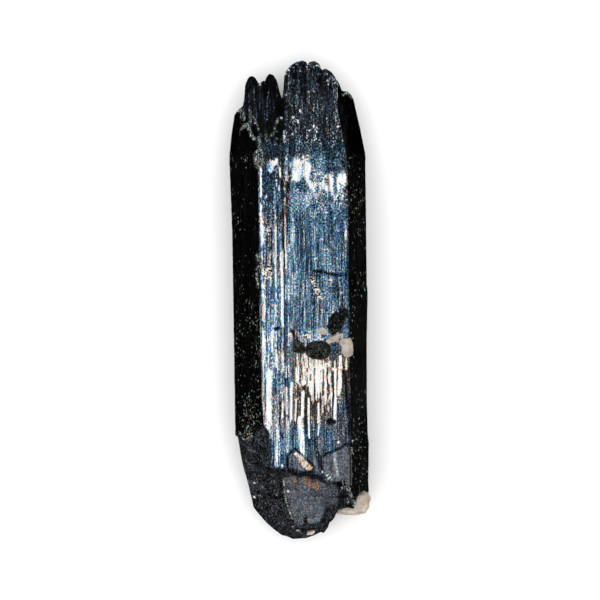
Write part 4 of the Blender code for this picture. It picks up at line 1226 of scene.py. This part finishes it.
def block_mesh(name, outline, low_z, high_z, material):
    """A broken block that stands as high as it is wide: rings up an outline, closed above and below."""
    outline = np.array(outline)
    closed = np.vstack([outline, outline[:1]])
    lengths = np.r_[0, np.cumsum(np.hypot(*np.diff(closed, axis=0).T))]
    along = np.linspace(0, lengths[-1], BLOCK_SPOKES, endpoint=False)
    rim = np.column_stack([np.interp(along, lengths, closed[:, k]) for k in (0, 1)])[::-1]
    centre = outline.mean(axis=0)
    away = (rim - centre) / np.hypot(*(rim - centre).T)[:, None]
    levels = [(low_z, share) for share in np.linspace(0, 1, BLOCK_RINGS, endpoint=False)[1:]]
    levels += [(z, 1.0) for z in np.linspace(low_z, high_z, BLOCK_LEVELS)]
    levels += [(high_z, share) for share in np.linspace(1, 0, BLOCK_RINGS, endpoint=False)[1:]]
    middle, half = (low_z + high_z) / 2, (high_z - low_z) / 2
    rings = []
    for z, share in levels:
        lean = 1 - 0.17 * abs((z - middle) / half) ** 2.5
        ring = centre + (rim - centre) * share * lean
        rough = 0.16 * fractal(ring[:, 0] + ring[:, 1], z, 0.9, 0.9, 301)
        ring = ring + away * (rough * share)[:, None]
        lift = 0.22 * fractal(ring[:, 0], ring[:, 1], 1.4, 1.4, 302) - 0.45 * step(0.75, 1.0, share)
        # the top is uneven and bevelled, the bottom half as much, and the walls between stay level
        lift = lift * {low_z: -0.5, high_z: 1.0}.get(z, 0.0)
        rings.append(np.column_stack([ring, z + lift]))
    body, faces = closed_body((*centre, low_z), rings, (*centre, high_z), upward=True)
    return new_mesh(name, body, faces, [material])


def settle(piece, node):
    """Attach a piece to the root, and hide the frame's node that it stands for."""
    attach(piece, "root")
    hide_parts(node)


def grain_pieces(feldspar, silicate):
    """The grains on the front face, sunk a little into it."""
    for seed, (name, grain) in enumerate(GRAINS.items(), start=GRAIN_SEED):
        material, slot, dome = silicate, "dark_silicate", SILICATE_DOME
        if name.startswith("feldspar"):
            material, slot, dome = feldspar, "feldspar", FELDSPAR_DOME
        settle(grain_mesh(name + "_skin", grain, FRONT_Z - GRAIN_SINK, seed, material, dome), name)


def base_pieces(feldspar):
    """The feldspar behind the corner of the base, and the crumb on its lowest edge."""
    block = block_mesh("base_feldspar_skin", BASE_FELDSPAR, *BLOCK_Z, feldspar)
    settle(block, "base_feldspar")
    crumb = grain_mesh("bottom_feldspar_grain_skin", BOTTOM_GRAIN, BOTTOM_GRAIN_Z, BOTTOM_SEED, feldspar,
                       BOTTOM_DOME)
    settle(crumb, "bottom_feldspar_grain")


# ---- Floor, light and camera ----

FLOOR_HALF = 3000.0
LAMP_PLACE, LAMP_SIZE = (0, -150, 1200), (1100, 900)
LAMP_STRENGTH, WORLD_STRENGTH = 1.45, 1.25
CAMERA_HEIGHT = 900.0
VIEW_WIDTH, VIEW_Z = 95.0, 8.0  # what the picture spans, and at what height of the crystal
SENSOR = 36.0


def floor():
    """A plain pale floor."""
    corners = [(-FLOOR_HALF, -FLOOR_HALF, 0), (FLOOR_HALF, -FLOOR_HALF, 0),
               (FLOOR_HALF, FLOOR_HALF, 0), (-FLOOR_HALF, FLOOR_HALF, 0)]
    made = new_mesh("floor", corners, [(0, 1, 2, 3)], [floor_material()])
    made.visible_glossy = False


def lights():
    """A soft lamp that looks straight down, and an even studio."""
    lamp = bpy.data.lights.new("overhead", "AREA")
    lamp.shape = "RECTANGLE"
    lamp.size, lamp.size_y = (side * MM for side in LAMP_SIZE)
    lamp.energy = LAMP_STRENGTH * math.pi * lamp.size * lamp.size_y
    made = bpy.data.objects.new("overhead", lamp)
    made.location = [value * MM for value in LAMP_PLACE]
    made.visible_camera = False
    bpy.context.scene.collection.objects.link(made)
    world = bpy.data.worlds.new("studio")
    world.use_nodes = True
    background = world.node_tree.nodes["Background"]
    background.inputs["Color"].default_value = (1, 1, 1, 1)
    background.inputs["Strength"].default_value = WORLD_STRENGTH
    world.cycles_visibility.glossy = False
    bpy.context.scene.world = world


def camera():
    """The camera looks straight down, with the crystal's tip upwards."""
    data = bpy.data.cameras.new("camera")
    data.sensor_width = SENSOR
    data.lens = SENSOR * (CAMERA_HEIGHT - VIEW_Z) / VIEW_WIDTH
    made = bpy.data.objects.new("camera", data)
    made.location = (0, 0, CAMERA_HEIGHT * MM)
    bpy.context.scene.collection.objects.link(made)
    bpy.context.scene.camera = made


def main():
    """The crystal, what grew on it and the studio round it."""
    crystal = crystal_mesh([front_material(), side_material(), break_material()])
    settle(crystal, "aegirine_crystal")
    feldspar, silicate = feldspar_material(), silicate_material()
    grain_pieces(feldspar, silicate)
    base_pieces(feldspar)
    floor()
    lights()
    camera()
    bpy.context.scene.view_settings.view_transform = "Standard"


main()
